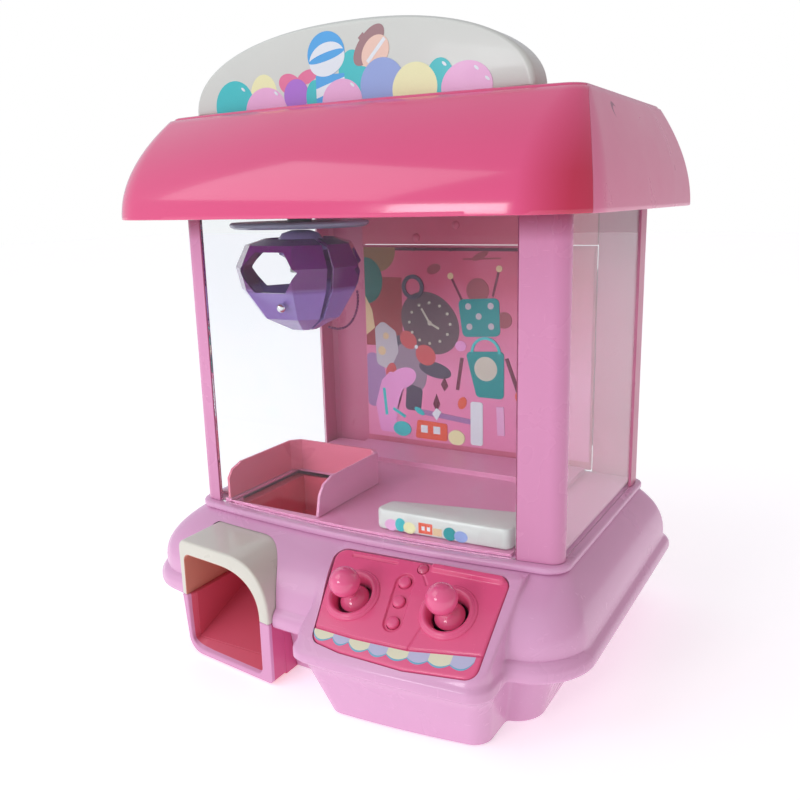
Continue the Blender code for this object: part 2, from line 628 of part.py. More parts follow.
def roof_part(name, mat, front):
    """The front hood, or the rest of the roof: one hollow form, parted along a leaning seam."""
    part = loft(name, roof_loops(0), mat)
    cut(part, loft("cut_hollow_" + name, roof_loops(WALL)))
    shift = 0.15 if front else -0.15
    far = 170 if front else -170
    seam = [(y - shift, z) for y, z in ROOF_SEAM]
    cut(part, sideways("cut_seam_" + name, [(far, 260)] + seam + [(far, 340)], -190, 190))
    return part


def build_roof():
    roof_part("roof_hood", material("hood_hot_pink", HOT_PINK, 0.2), True)
    roof_part("roof_shell", material("roof_pale_pink", SIDE_PINK, 0.35), False)

    power, steps = 2.19, 20
    rim = []
    for i in range(steps + 1):
        a = math.pi * i / steps
        c, s = math.cos(a), max(math.sin(a), 0)
        rim.append((SIGN_MIDDLE + SIGN_HALF * math.copysign(abs(c) ** (2 / power), c),
                    ROOF_HIGH + GAP + (SIGN_TOP - ROOF_HIGH - GAP) * s ** (2 / power)))
    sign = loft("sign", [[(x, y, z) for x, z in rim] for y in (-50.5, -30.5)], material("sign_cream", CREAM, 0.3))
    bevel(sign, 3.0)

    frame_mat = material("frame_grey", GREY, 0.5)
    frame = upright("top_frame", outline(126.5, -54, 109, 9, 9, 8, 3, 6), CABIN_TOP + GAP, 276.5, frame_mat)
    cut(frame, box("cut_frame", (-117, -50, 260), (117, 101, 290)))
    for i, y in enumerate(RAIL_Y):
        for side in (-1, 1):
            low, high = sorted((side * 117.5, side * 126))
            fuse(frame, box("add_boss_%d_%d" % (i, side), (low, y - 6, 275), (high, y + 6, 290)))
        cut(frame, rod("cut_rail_%d" % i, (-140, y, RAIL_Z), (140, y, RAIL_Z), RAIL_RADIUS + 0.3))
        rod(("rail_front", "rail_rear")[i], (-125.5, y, RAIL_Z), (125.5, y, RAIL_Z), RAIL_RADIUS,
            material("rail_steel", STEEL, 0.2, 1.0), 12)


# ---------------------------------------------------------------- crane

def build_bridge():
    grey = material("crane_grey", GREY, 0.45)
    steel = material("rail_steel", STEEL, 0.2, 1.0)
    pieces = []
    for name, y in (("front", RAIL_Y[0]), ("rear", RAIL_Y[1])):
        block = box("bridge_block_%s" % name, (HOME_X - 11, y - 6, 278), (HOME_X + 11, y + 6, 298), grey)
        bore = RAIL_RADIUS + 0.3
        cut(block, rod("cut_block_rail_%s" % name, (HOME_X - 20, y, RAIL_Z), (HOME_X + 20, y, RAIL_Z), bore))
        for side in (-1, 1):
            x = HOME_X + side * ROD_X
            cut(block, rod("cut_block_rod_%s_%d" % (name, side), (x, y - 10, ROD_Z), (x, y + 10, ROD_Z), bore))
        pieces.append(block)
    for name, side in (("left", -1), ("right", 1)):
        x = HOME_X + side * ROD_X
        pieces.append(rod("bridge_rod_%s" % name, (x, RAIL_Y[0] - 5.5, ROD_Z), (x, RAIL_Y[1] - 4.2, ROD_Z),
                          RAIL_RADIUS, steel, 12))
    rear = pieces[1]
    wheel_z = RAIL_Z + RAIL_RADIUS + 0.3 + WHEEL_RADIUS
    y = RAIL_Y[1]
    cut(rear, box("cut_wheel_pocket", (HOME_X - 10, y - 3, 285), (HOME_X + 10, y + 3, 300)))
    cut(rear, rod("cut_x_shaft", (HOME_X, y, wheel_z), (HOME_X, y + 10, wheel_z), 1.4, None, 12))
    wheel = rod("x_wheel", (HOME_X, y - 2.5, wheel_z), (HOME_X, y + 2.5, wheel_z), WHEEL_RADIUS,
                material("tyre_black", DARK, 0.8), 24)
    fuse(wheel, rod("add_x_shaft", (HOME_X, y, wheel_z), (HOME_X, y + 6.3, wheel_z), 1.0, None, 10))
    motor = rod("x_motor", (HOME_X, y + 6.6, wheel_z), (HOME_X, y + 21, wheel_z), 6.5,
                material("motor_steel", STEEL, 0.35, 1.0))
    pivot("pivot_bridge", (HOME_X, RAIL_Y[0], RAIL_Z), motor, *pieces)
    pivot("pivot_x_wheel", (HOME_X, y, wheel_z), wheel)


def build_trolley():
    grey = material("crane_grey", GREY, 0.45)
    motor_mat = material("motor_steel", STEEL, 0.35, 1.0)
    trolley = box("trolley", (HOME_X - 18, HOME_Y - 18, 270), (HOME_X + 18, HOME_Y + 18, 296), grey)
    for side in (-1, 1):
        x = HOME_X + side * ROD_X
        cut(trolley, rod("cut_trolley_rod_%d" % side, (x, HOME_Y - 25, ROD_Z), (x, HOME_Y + 25, ROD_Z),
                         RAIL_RADIUS + 0.3))
    cut(trolley, box("cut_winch_pocket", (HOME_X - 9, HOME_Y - 8, 265), (HOME_X + 9, HOME_Y + 14, 286)))
    cut(trolley, box("cut_wheel_slot", (HOME_X - 11.5, HOME_Y - 10, 291), (HOME_X - 4.5, HOME_Y + 10, 300)))
    drum_y = HOME_Y + DRUM_RADIUS + 0.9
    cut(trolley, rod("cut_drum_shaft", (HOME_X - 14, drum_y, DRUM_Z), (HOME_X + 25, drum_y, DRUM_Z), 1.4, None,
                     12))
    cheek = DRUM_RADIUS + 1.6
    drum_profile = [(0, -13), (1, -13), (1, -8), (cheek, -8), (cheek, -6.6), (DRUM_RADIUS, -6.6), (DRUM_RADIUS, 6.6),
                    (cheek, 6.6), (cheek, 8), (1, 8), (1, 17.6), (0, 17.6)]
    drum = turned("winch_drum", drum_profile, (HOME_X, drum_y, DRUM_Z), (1, 0, 0), material("drum_white", CREAM, 0.5))
    hoist = rod("hoist_motor", (HOME_X + 18.3, drum_y, DRUM_Z), (HOME_X + 37, drum_y, DRUM_Z), 6.5, motor_mat)
    wheel_z = ROD_Z + RAIL_RADIUS + 0.3 + WHEEL_RADIUS
    wheel = rod("y_wheel", (HOME_X - 10.7, HOME_Y, wheel_z), (HOME_X - 5.3, HOME_Y, wheel_z), WHEEL_RADIUS,
                material("tyre_black", DARK, 0.8), 24)
    fuse(wheel, rod("add_y_shaft", (HOME_X - 6, HOME_Y, wheel_z), (HOME_X - 3.6, HOME_Y, wheel_z), 1.0, None, 10))
    motor = rod("y_motor", (HOME_X - 3.3, HOME_Y, wheel_z), (HOME_X + 14, HOME_Y, wheel_z), 6.5, motor_mat)
    disc = turned("trolley_disc", [(1.6, 264), (42, 264), (44.4, 265.2), (DISC_RADIUS, 266.8), (44, 268), (8, 268),
                                   (8, 269.7), (1.6, 269.7)], (HOME_X, HOME_Y, 0), (0, 0, 1),
                  material("disc_grey", GREY, 0.35), 24)
    rod("hoist_cord", (HOME_X, HOME_Y, 262.9), (HOME_X, HOME_Y, DRUM_Z), 0.6, material("cord_white", CREAM, 0.8), 8)
    pivot("pivot_trolley", (HOME_X, HOME_Y, ROD_Z), trolley, hoist, motor, disc)
    pivot("pivot_winch_drum", (HOME_X, drum_y, DRUM_Z), drum)
    pivot("pivot_y_wheel", (HOME_X - 8, HOME_Y, wheel_z), wheel)


def around(angle, r, z, side=0.0):
    """A point by the claw's axis: r out along angle, side across it."""
    a = math.radians(angle)
    return (HOME_X + r * math.cos(a) - side * math.sin(a), HOME_Y + r * math.sin(a) + side * math.cos(a), z)


def radial_box(name, angle, r, half_side, z):
    corners = [around(angle, r[i], 0, s * half_side)[:2] for i, s in ((0, -1), (1, -1), (1, 1), (0, 1))]
    return upright(name, corners, z[0], z[1])


def build_jaw(number, angle):
    """A faceted petal with a six-sided window, hung from a tab on the claw head's pin."""
    def grid(shrink):
        rows = []
        for k, (r, z) in enumerate(JAW_PROFILE):
            before = JAW_PROFILE[max(k - 1, 0)]
            after = JAW_PROFILE[min(k + 1, len(JAW_PROFILE) - 1)]
            run = Vector((after[0] - before[0], after[1] - before[1])).normalized()
            inward = Vector((run.y, -run.x))
            r, z = r + inward.x * shrink, z + inward.y * shrink
            rows.append([around(angle + a, r, z) for a in JAW_COLUMNS])
        return rows

    outer, inner = grid(0.0), grid(2.2)
    rows, columns = len(outer), len(outer[0])
    verts = [p for g in (outer, inner) for row in g for p in row]
    faces = []
    half = rows * columns
    for i in range(rows - 1):
        for j in range(columns - 1):
            a = i * columns + j
            faces.append([a, a + 1, a + columns + 1, a + columns])
            faces.append([half + a, half + a + columns, half + a + columns + 1, half + a + 1])
    border = [j for j in range(columns)] + [i * columns + columns - 1 for i in range(1, rows)]
    border += [(rows - 1) * columns + j for j in range(columns - 2, -1, -1)]
    border += [i * columns for i in range(rows - 2, 0, -1)]
    for a, b in zip(border, border[1:] + border[:1]):
        faces.append([a, b, half + b, half + a])
    jaw = make("jaw_%d" % number, verts, faces, material("jaw_purple", PURPLE, 0.15, 0.0, 0.75))
    fuse(jaw, radial_box("add_tab_%d" % number, angle, (17.0, 26.5), 2.6, (250.4, 255.6)))
    cut(jaw, rod("cut_tab_%d" % number, around(angle, PIVOT_R, PIVOT_Z, -9), around(angle, PIVOT_R, PIVOT_Z, 9),
                 1.5, None, 12))
    window = [(22, 0), (11, 12), (-11, 12), (-22, 0), (-12, -13), (12, -13)]
    cut(jaw, loft("cut_window_%d" % number, [[around(angle, r, 238 + h, s) for s, h in window] for r in (27, 60)]))
    return jaw


def build_claw():
    lilac = material("claw_lilac", LILAC, 0.3)
    head = turned("claw_head", [(0, 262.6), (6, 262.4), (12, 260.5), (14.5, 257), (14.5, 247), (11, 245), (3.6, 245),
                                (3.6, 256), (0, 256)], (HOME_X, HOME_Y, 0), (0, 0, 1), lilac, 20)
    for n, angle in enumerate(JAW_ANGLES):
        for side in (-1, 1):
            ear = [around(angle, r, 0, side * s)[:2] for r, s in ((12, 3.1), (21.6, 3.1), (21.6, 5.3), (12, 5.3))]
            fuse(head, upright("add_ear_%d_%d" % (n, side), ear, 249.8, 254.9))
        fuse(head, rod("add_jaw_pin_%d" % n, around(angle, PIVOT_R, PIVOT_Z, -5), around(angle, PIVOT_R, PIVOT_Z, 5),
                       1.1, None, 10))
    pivot("pivot_claw_head", (HOME_X, HOME_Y, 262.6), head)
    slider = turned("claw_slider", [(0, 235.5), (8, 235.5), (8, 238), (3, 239.5), (3, 249), (0, 249)],
                    (HOME_X, HOME_Y, 0), (0, 0, 1), material("slider_white", CREAM, 0.4), 16)
    pivot("pivot_claw_slider", (HOME_X, HOME_Y, 238), slider)
    for n, angle in enumerate(JAW_ANGLES):
        jaw = build_jaw(n + 1, angle)
        place = around(angle, PIVOT_R, PIVOT_Z)
        if n == 0:
            ball = turned("jaw_ball", [(0, -3.0)] + [(3.0 * math.sin(a), -3.0 * math.cos(a)) for a in
                                                   [math.pi * i / 8 for i in range(1, 8)]] + [(0, 3.0)],
                          around(-78, 34.2, 216.0), (0, 0, 1), material("ball_chrome", STEEL, 0.08, 1.0), 16)
            pivot("pivot_jaw_1", place, jaw, ball)
        elif n == 1:
            pivot("pivot_jaw_2", place, jaw, build_chain())
        else:
            pivot("pivot_jaw_3", place, jaw)


# The chain hangs in one upright plane through the claw's axis; each point is (distance from the axis, z)
CHAIN_ANGLE = 2.0
CHAIN_ROUTE = [(41.2, 224.5), (41.6, 219.0), (40.6, 212.5), (37.6, 206.0), (33.0, 201.3), (27.6, 199.2),
               (22.4, 199.2), (18.2, 200.0)]


def smooth_route(points, steps):
    """Points read from a Catmull-Rom curve through the route's points."""
    ends = [points[0]] + points + [points[-1]]
    result = []
    for i in range(len(points) - 1):
        p0, p1, p2, p3 = (Vector(p) for p in ends[i:i + 4])
        for k in range(steps):
            t = k / steps
            result.append(0.5 * (2 * p1 + (p2 - p0) * t + (2 * p0 - 5 * p1 + 4 * p2 - p3) * t * t
                                 + (3 * p1 - p0 - 3 * p2 + p3) * t ** 3))
    result.append(Vector(points[-1]))
    return result


def build_chain():
    """The ball chain's solid: a tube along its hanging loop."""
    path = smooth_route(CHAIN_ROUTE, 2)
    curve = bpy.data.curves.new("bead_chain", "CURVE")
    curve.dimensions = "3D"
    curve.bevel_depth = 0.9 * MM
    curve.bevel_resolution = 2
    curve.use_fill_caps = True
    spline = curve.splines.new("POLY")
    spline.points.add(len(path) - 1)
    for point, (r, z) in zip(spline.points, path):
        point.co = (*(Vector(around(CHAIN_ANGLE, r, z)) * MM), 1.0)
    curve.materials.append(material("chain_purple", PURPLE, 0.3))
    chain = bpy.data.objects.new("bead_chain", curve)
    bpy.context.scene.collection.objects.link(chain)
    return chain


def main():
    for obj in list(bpy.data.objects):
        bpy.data.objects.remove(obj, do_unlink=True)
    build_base()
    build_controls()
    build_cabin()
    build_roof()
    build_bridge()
    build_trolley()
    build_claw()


main()
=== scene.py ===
"""Looks of the toy claw crane machine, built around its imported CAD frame.

Lengths in the tables and functions are in millimetres; make() and MM turn them into metres.
"""
import math

import bmesh
import bpy
import numpy as np
from mathutils import Matrix, Vector


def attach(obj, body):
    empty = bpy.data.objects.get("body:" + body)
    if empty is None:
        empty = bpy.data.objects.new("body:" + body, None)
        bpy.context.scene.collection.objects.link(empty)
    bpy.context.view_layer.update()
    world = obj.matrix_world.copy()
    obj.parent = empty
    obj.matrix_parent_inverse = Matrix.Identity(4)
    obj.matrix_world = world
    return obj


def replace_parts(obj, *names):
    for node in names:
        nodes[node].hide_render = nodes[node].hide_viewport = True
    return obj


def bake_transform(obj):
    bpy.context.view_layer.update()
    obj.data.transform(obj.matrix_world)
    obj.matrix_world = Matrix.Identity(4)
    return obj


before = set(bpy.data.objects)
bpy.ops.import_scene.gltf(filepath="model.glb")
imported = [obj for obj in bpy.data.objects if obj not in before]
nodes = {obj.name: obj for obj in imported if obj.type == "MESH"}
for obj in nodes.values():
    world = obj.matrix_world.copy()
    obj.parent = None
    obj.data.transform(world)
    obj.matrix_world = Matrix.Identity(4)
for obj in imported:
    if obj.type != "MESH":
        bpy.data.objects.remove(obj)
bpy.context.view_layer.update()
MM = 0.001


# ---- camera

AZIMUTH, PITCH, ROLL = math.radians(29.931), math.radians(13.349), math.radians(-1.425)
EYE, LENS, SENSOR = (0.26331, -0.46119, 0.27974), 37.915, 36.0


def make_camera():
    data = bpy.data.cameras.new("camera")
    data.lens, data.sensor_width, data.clip_end = LENS, SENSOR, 50.0
    camera = bpy.data.objects.new("camera", data)
    bpy.context.scene.collection.objects.link(camera)
    turn = Matrix.Rotation(AZIMUTH, 4, "Z") @ Matrix.Rotation(math.pi / 2 - PITCH, 4, "X")
    camera.matrix_world = Matrix.Translation(EYE) @ turn @ Matrix.Rotation(ROLL, 4, "Z")
    bpy.context.scene.camera = camera


make_camera()


# ---- materials

def linear(colour):
    """An 8-bit sRGB colour as linear RGBA."""
    parts = [c / 255 for c in colour]
    return (*[p / 12.92 if p <= 0.04045 else ((p + 0.055) / 1.055) ** 2.4 for p in parts], 1.0)


class Nodes:
    """The node tree of a material or a world, with short calls for the nodes they share."""

    def __init__(self, owner, shader="Principled BSDF", coords="Object"):
        owner.use_nodes = True
        self.owner = owner
        self.tree = owner.node_tree
        self.shader = self.tree.nodes[shader]
        self.coords = self.add("ShaderNodeTexCoord").outputs[coords]

    def add(self, kind, **values):
        node = self.tree.nodes.new(kind)
        for key, value in values.items():
            setattr(node, key, value)
        return node

    def put(self, socket, value):
        if isinstance(value, bpy.types.NodeSocket):
            self.tree.links.new(value, socket)
        else:
            socket.default_value = value

    def fill(self, node, **values):
        """Sets a node's inputs; an underscore in a name stands for a space."""
        for key, value in values.items():
            self.put(node.inputs[key.replace("_", " ")], value)

    def noise(self, scale, detail=2.0, stretch=(1, 1, 1), turn=(0, 0, 0), distortion=0.0):
        place = self.add("ShaderNodeMapping")
        node = self.add("ShaderNodeTexNoise")
        self.fill(place, Vector=self.coords, Scale=stretch, Rotation=turn)
        self.fill(node, Vector=place.outputs["Vector"], Scale=scale, Detail=detail, Distortion=distortion)
        return node.outputs["Fac"]

    def hairs(self, scale, stretch, turn, distortion, low):
        """A mask of long thin scratches."""
        return self.span(self.noise(scale, 2.0, stretch, turn, distortion), low, low + 0.03)

    def span(self, value, low, high, to_low=0.0, to_high=1.0):
        node = self.add("ShaderNodeMapRange")
        self.fill(node, Value=value, From_Min=low, From_Max=high, To_Min=to_low, To_Max=to_high)
        return node.outputs["Result"]

    def math(self, operation, a, b=0.0):
        node = self.add("ShaderNodeMath", operation=operation)
        self.put(node.inputs[0], a)
        self.put(node.inputs[1], b)
        return node.outputs[0]

    def mix(self, share, a, b):
        node = self.add("ShaderNodeMix", data_type="RGBA")
        self.put(node.inputs["Factor"], share)
        self.put(node.inputs[6], a)
        self.put(node.inputs[7], b)
        return node.outputs[2]

    def axis(self, name):
        node = self.add("ShaderNodeSeparateXYZ")
        self.put(node.inputs[0], self.coords)
        return node.outputs[name]

    def relief(self, height, strength, distance):
        """Bumps the surface by a height; distance is in mm."""
        bump = self.add("ShaderNodeBump")
        self.fill(bump, Strength=strength, Distance=distance * MM, Height=height)
        self.fill(self.shader, Normal=bump.outputs["Normal"])


def shade(colour, factor):
    return (*[min(c * factor, 1.0) for c in colour[:3]], 1.0)


materials = {}


def plastic(name, colour, roughness=0.3, grain=0.015, scratches=0.1, metallic=0.0, coat=0.0, transmission=0.0,
            colours=()):
    """Moulded plastic or metal: drifting tone, fine grain and hairline scratches; grain is its depth in mm.

    colours adds (mask function, colour) pairs: the mask turns the Nodes helper into a 0 to 1 socket.
    """
    if name in materials:
        return materials[name]
    n = Nodes(bpy.data.materials.new(name))
    base = linear(colour)
    cloud = n.span(n.noise(16.0, 3.0, distortion=0.6), 0.3, 0.7)
    tint = n.mix(cloud, shade(base, 0.988), shade(base, 1.012))
    for mask, other in colours:
        tint = n.mix(mask(n), tint, linear(other))
    lines = n.math("MAXIMUM", n.hairs(46.0, (1, 16, 16), (0.3, 0.5, 0.9), 0.15, 0.705),
                   n.hairs(38.0, (18, 18, 1), (0.8, 0.2, 0.3), 0.15, 0.72))
    lines = n.math("MULTIPLY", lines, n.span(n.noise(9.0, 1.0), 0.45, 0.68))
    tint = n.mix(n.math("MULTIPLY", lines, scratches), tint, shade(base, 1.2))
    smear = n.span(n.noise(22.0, 4.0, distortion=1.5), 0.3, 0.75, roughness * 0.88, roughness * 1.12)
    rough = n.math("ADD", smear, n.math("MULTIPLY", lines, 0.1))
    n.fill(n.shader, Base_Color=tint, Roughness=rough, Metallic=metallic, IOR=1.46, Coat_Weight=coat,
           Coat_Roughness=0.06, Transmission_Weight=transmission)
    n.relief(n.math("SUBTRACT", n.noise(1500.0), n.math("MULTIPLY", lines, 0.8)), 0.2, grain)
    materials[name] = n.owner
    return n.owner


def clear_pane():
    """A clear pane: faint scratches, handling smears and a low index that keeps its reflections faint."""
    n = Nodes(bpy.data.materials.new("clear_pane"))
    lines = n.math("MAXIMUM", n.hairs(30.0, (1, 22, 22), (0.2, 0.9, 0.4), 0.2, 0.71),
                   n.hairs(26.0, (20, 20, 1), (0.7, 0.1, 1.1), 0.2, 0.73))
    smear = n.span(n.noise(11.0, 4.0, distortion=2.0), 0.55, 0.8, 0.0, 0.05)
    tint = n.mix(n.math("MULTIPLY", lines, 0.2), linear((250, 252, 253)), linear((225, 228, 232)))
    rough = n.math("ADD", smear, n.math("MULTIPLY", lines, 0.12))
    n.fill(n.shader, Base_Color=tint, Roughness=rough, Transmission_Weight=1.0, IOR=1.25)
    n.relief(n.noise(9.0, 1.0), 0.12, 0.4)
    return n.owner


def ink(name, colour, other=None, low=0.0, high=1.0):
    """Printed film: flat ink with paper mottle; it may fade to another colour between two heights, which paints
    shade.
    """
    if name in materials:
        return materials[name]
    n = Nodes(bpy.data.materials.new(name))
    base = tint = linear(colour)
    if other:
        tint = n.mix(above("Z", low, high)(n), base, linear(other))
    dots = n.span(n.noise(900.0), 0.35, 0.7)
    tint = n.mix(n.math("MULTIPLY", dots, 0.06), tint, shade(base, 0.72))
    tint = n.mix(n.span(n.noise(30.0, 3.0), 0.45, 0.8, 0.0, 0.18), tint, shade(base, 1.25))
    n.fill(n.shader, Base_Color=tint, Roughness=n.span(n.noise(80.0), 0.3, 0.7, 0.28, 0.42))
    n.relief(n.noise(1200.0), 0.15, 0.03)
    materials[name] = n.owner
    return n.owner


def above(way, low, high):
    """A mask that rises from 0 to 1 between two places in mm along an axis."""
    return lambda n: n.span(n.axis(way), low * MM, high * MM)


def near(place, inner, outer):
    """A mask that goes from 0 to 1 between two distances in mm from a place."""
    def mask(n):
        away = n.add("ShaderNodeVectorMath", operation="DISTANCE")
        n.put(away.inputs[0], n.coords)
        n.put(away.inputs[1], [c * MM for c in place])
        return n.span(away.outputs["Value"], inner * MM, outer * MM)
    return mask


def both(one, other):
    """A mask that is the product of two."""
    return lambda n: n.math("MULTIPLY", one(n), other(n))


# ---- mesh helpers

def finish_mesh(obj, mats, body, angle):
    """Materials, shading that is smooth below an angle, and the body that the piece belongs to."""
    for mat in mats:
        obj.data.materials.append(mat)
    if angle:
        obj.data.shade_smooth()
        obj.data.set_sharp_from_angle(angle=math.radians(angle))
    if body:
        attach(obj, body)


def make(name, solid, mats=(), body=None, angle=38.0, merge=True, indices=None):
    """A mesh object from a (verts, faces) pair in millimetres."""
    verts, faces = solid
    mesh = bpy.data.meshes.new(name)
    mesh.from_pydata([tuple(c * MM for c in v) for v in verts], [], faces)
    if indices is not None:
        mesh.polygons.foreach_set("material_index", indices)
    bm = bmesh.new()
    bm.from_mesh(mesh)
    if merge:
        bmesh.ops.remove_doubles(bm, verts=bm.verts, dist=2e-6)
    bmesh.ops.recalc_face_normals(bm, faces=bm.faces)
    bm.to_mesh(mesh)
    bm.free()
    obj = bpy.data.objects.new(name, mesh)
    bpy.context.scene.collection.objects.link(obj)
    finish_mesh(obj, mats, body, angle)
    return obj


def band(a, b, count):
    """Quads between two closed rings of vertices that start at a and at b."""
    return [(a + i, a + (i + 1) % count, b + (i + 1) % count, b + i) for i in range(count)]


def loft(loops):
    """Vertices and faces of a closed solid through loops with one count, capped at both ends."""
    count = len(loops[0])
    verts = [tuple(p) for loop in loops for p in loop]
    faces = [tuple(reversed(range(count))), tuple((len(loops) - 1) * count + i for i in range(count))]
    for k in range(len(loops) - 1):
        faces += band(k * count, (k + 1) * count, count)
    return verts, faces


def lathe(name, profile, centre, axis, mats, body, count=64, angle=38.0):
    """A solid turned from (radius, height) points; it starts and ends on the axis, or closes on itself."""
    w = Vector(axis).normalized()
    u = (Vector((1, 0, 0)) - w * w.x).normalized()
    v = w.cross(u)
    verts, rings, faces = [], [], []
    for r, h in profile:
        turns = [2 * math.pi * i / count for i in range(1 if r < 1e-6 else count)]
        rings.append([len(verts) + i for i in range(len(turns))])
        verts += [Vector(centre) + w * h + u * (r * math.cos(a)) + v * (r * math.sin(a)) for a in turns]
    pairs = list(zip(rings, rings[1:]))
    if len(rings[0]) > 1:
        pairs.append((rings[-1], rings[0]))
    for a, b in pairs:
        for i in range(count):
            j = (i + 1) % count
            quad = (a[i % len(a)], a[j % len(a)], b[j % len(b)], b[i % len(b)])
            faces.append(tuple(dict.fromkeys(quad)))
    return make(name, (verts, faces), mats, body, angle)


def cut(obj, *parts):
    """Cuts closed solids, each given as (verts, faces), out of an object at once."""
    verts, faces = [], []
    for some, more in parts:
        start = len(verts)
        verts += some
        faces += [tuple(i + start for i in face) for face in more]
    tool = make("cutter", (verts, faces), angle=None)
    mod = obj.modifiers.new("cut", "BOOLEAN")
    mod.operation = "DIFFERENCE"
    mod.solver = "EXACT"
    mod.object = tool
    bpy.context.view_layer.update()
    graph = bpy.context.evaluated_depsgraph_get()
    mesh = bpy.data.meshes.new_from_object(obj.evaluated_get(graph))
    old = obj.data
    obj.modifiers.clear()
    obj.data = mesh
    bpy.data.meshes.remove(old)
    bpy.data.objects.remove(tool, do_unlink=True)


def drop_normals(mesh):
    """Removes the stored normals, so that the shading follows the bevels."""
    if "custom_normal" in mesh.attributes:
        mesh.attributes.remove(mesh.attributes["custom_normal"])


def bevel(obj, width, segments=3, angle=40.0):
    mod = obj.modifiers.new("bevel", "BEVEL")
    mod.width = width * MM
    mod.segments = segments
    mod.limit_method = "ANGLE"
    mod.angle_limit = math.radians(angle)
    mod.harden_normals = True


def dress(node, mat, width, segments=2, angle=40.0):
    """A CAD node keeps its shape and gets a finish and softened edges."""
    obj = nodes[node]
    for entry in obj.material_slots:
        entry.material = mat
    drop_normals(obj.data)
    obj.data.shade_smooth()
    weld = obj.modifiers.new("weld", "WELD")
    weld.merge_threshold = 0.005 * MM
    bevel(obj, width, segments, angle)
    return obj


# ---- outlines

def bulge(t, power):
    """Share of the way out, for a wall that rounds over: 0 at the top, 1 at the foot."""
    return 1 - (1 - t) ** power


def arc(cx, cy, radius, start, sweep, steps=12):
    """Points along an arc with both its ends, with angles in degrees."""
    turns = [math.radians(start + sweep * i / steps) for i in range(steps + 1)]
    return [(cx + radius * math.cos(a), cy + radius * math.sin(a)) for a in turns]


def outline(half, front, rear, bow, r_front, r_rear, steps=12, dots=60):
    """A rounded rectangle in plan, with its front edge bowed forward."""
    corners = [(half - r_front, front + r_front, r_front, -90), (half - r_rear, rear - r_rear, r_rear, 0),
               (r_rear - half, rear - r_rear, r_rear, 90), (r_front - half, front + r_front, r_front, 180)]
    points = [p for cx, cy, r, start in corners for p in arc(cx, cy, r, start, 90, steps)]
    points += [((-1 + 2 * i / dots) * (half - r_front), front) for i in range(1, dots)]
    middle = (front + rear) / 2
    return [(x, y - bow * (1 - (x / half) ** 2) if y < middle else y) for x, y in points]


def rounded(corners, radius, steps=10):
    """Rounds the corners of a convex outline, listed counter-clockwise."""
    points = []
    for i, corner in enumerate(corners):
        c = Vector(corner)
        a = (Vector(corners[i - 1]) - c).normalized()
        b = (Vector(corners[(i + 1) % len(corners)]) - c).normalized()
        half_angle = a.angle(b) / 2
        centre = c + (a + b).normalized() * (radius / math.sin(half_angle))
        start = c + a * (radius / math.tan(half_angle)) - centre
        for k in range(steps + 1):
            t = (math.pi - 2 * half_angle) * k / steps
            points.append((centre.x + start.x * math.cos(t) - start.y * math.sin(t),
                           centre.y + start.x * math.sin(t) + start.y * math.cos(t)))
    return points


def moved_in(corners, distance):
    """The corners of a convex outline, listed counter-clockwise, after each edge moves in."""
    lines = []
    for (x0, y0), (x1, y1) in zip(corners, corners[1:] + corners[:1]):
        d = Vector((x1 - x0, y1 - y0)).normalized()
        lines.append((Vector((x0, y0)) + Vector((-d.y, d.x)) * distance, d))
    result = []
    for (p, d), (q, e) in zip(lines[-1:] + lines[:-1], lines):
        t = ((q - p).x * e.y - (q - p).y * e.x) / (d.x * e.y - d.y * e.x)
        result.append(tuple(p + d * t))
    return result


def smooth_line(points, steps):
    """Points read from a Catmull-Rom curve through an open list of points."""
    ends = [points[0]] + list(points) + [points[-1]]
    result = []
    for i in range(len(points) - 1):
        p0, p1, p2, p3 = (np.array(p, float) for p in ends[i:i + 4])
        for k in range(steps):
            t = k / steps
            result.append(0.5 * (2 * p1 + (p2 - p0) * t + (2 * p0 - 5 * p1 + 4 * p2 - p3) * t ** 2
                                 + (3 * p1 - p0 - 3 * p2 + p3) * t ** 3))
    result.append(np.array(points[-1], float))
    return [tuple(float(c) for c in p) for p in result]


def dense(points, step):
    """A closed outline with more points along its straight runs."""
    result = []
    for (x0, y0), (x1, y1) in zip(points, points[1:] + points[:1]):
        count = max(1, int(math.hypot(x1 - x0, y1 - y0) / step))
        result += [(x0 + (x1 - x0) * i / count, y0 + (y1 - y0) * i / count) for i in range(count)]
    return result


# ---- palette

BASE = plastic("base_pink", (224, 168, 206), 0.26, coat=0.15)
POST = plastic("post_pink", (216, 142, 184), 0.28, coat=0.15, colours=(
    # the front posts' inner side faces, between x = -111.9 and 101.9 mm, get painted shade (160, 70, 108)
    (both(above("X", -112.3, -111.9), above("X", 102.3, 101.9)), (160, 70, 108)),
    # the front posts' tops, from 258 mm up, get a painted shadow (160, 64, 102) under the roof
    (above("Z", 258.0, 271.0), (160, 64, 102))))
REAR_POST = plastic("rear_post_pink", (196, 108, 142), 0.3)
DOOR = plastic("door_pink", (206, 110, 140), 0.36)
PANEL_MAT = plastic("panel_pink", (232, 92, 140), 0.24, coat=0.25)
KNOB = plastic("knob_pink", (234, 98, 146), 0.14, coat=0.5)
HOOD_MAT = plastic("hood_hot_pink", (222, 78, 128), 0.16, coat=0.4, colours=(
    # the hood's right corner, low down, gets painted shade (200, 52, 86) where it turns to the side
    (both(above("X", 118.0, 140.0), above("Z", 330.0, 290.0)), (200, 52, 86)),))
ROOF_MAT = plastic("roof_pale_pink", (222, 126, 162), 0.3, coat=0.15, colours=(
    # a dark crescent on the roof's right side, (140, 64, 100), is the painted shade of a round hole's upper wall
    (both(near((138.8, -21.0, 321.5), 5.0, 4.0), near((139.4, -19.5, 319.8), 3.8, 4.6)), (140, 64, 100)),))
CREAM = plastic("cream", (200, 204, 198), 0.32, coat=0.1)
CLEAR = clear_pane()
STEEL = plastic("steel", (205, 206, 210), 0.22, metallic=1.0, grain=0.01, scratches=0.5)
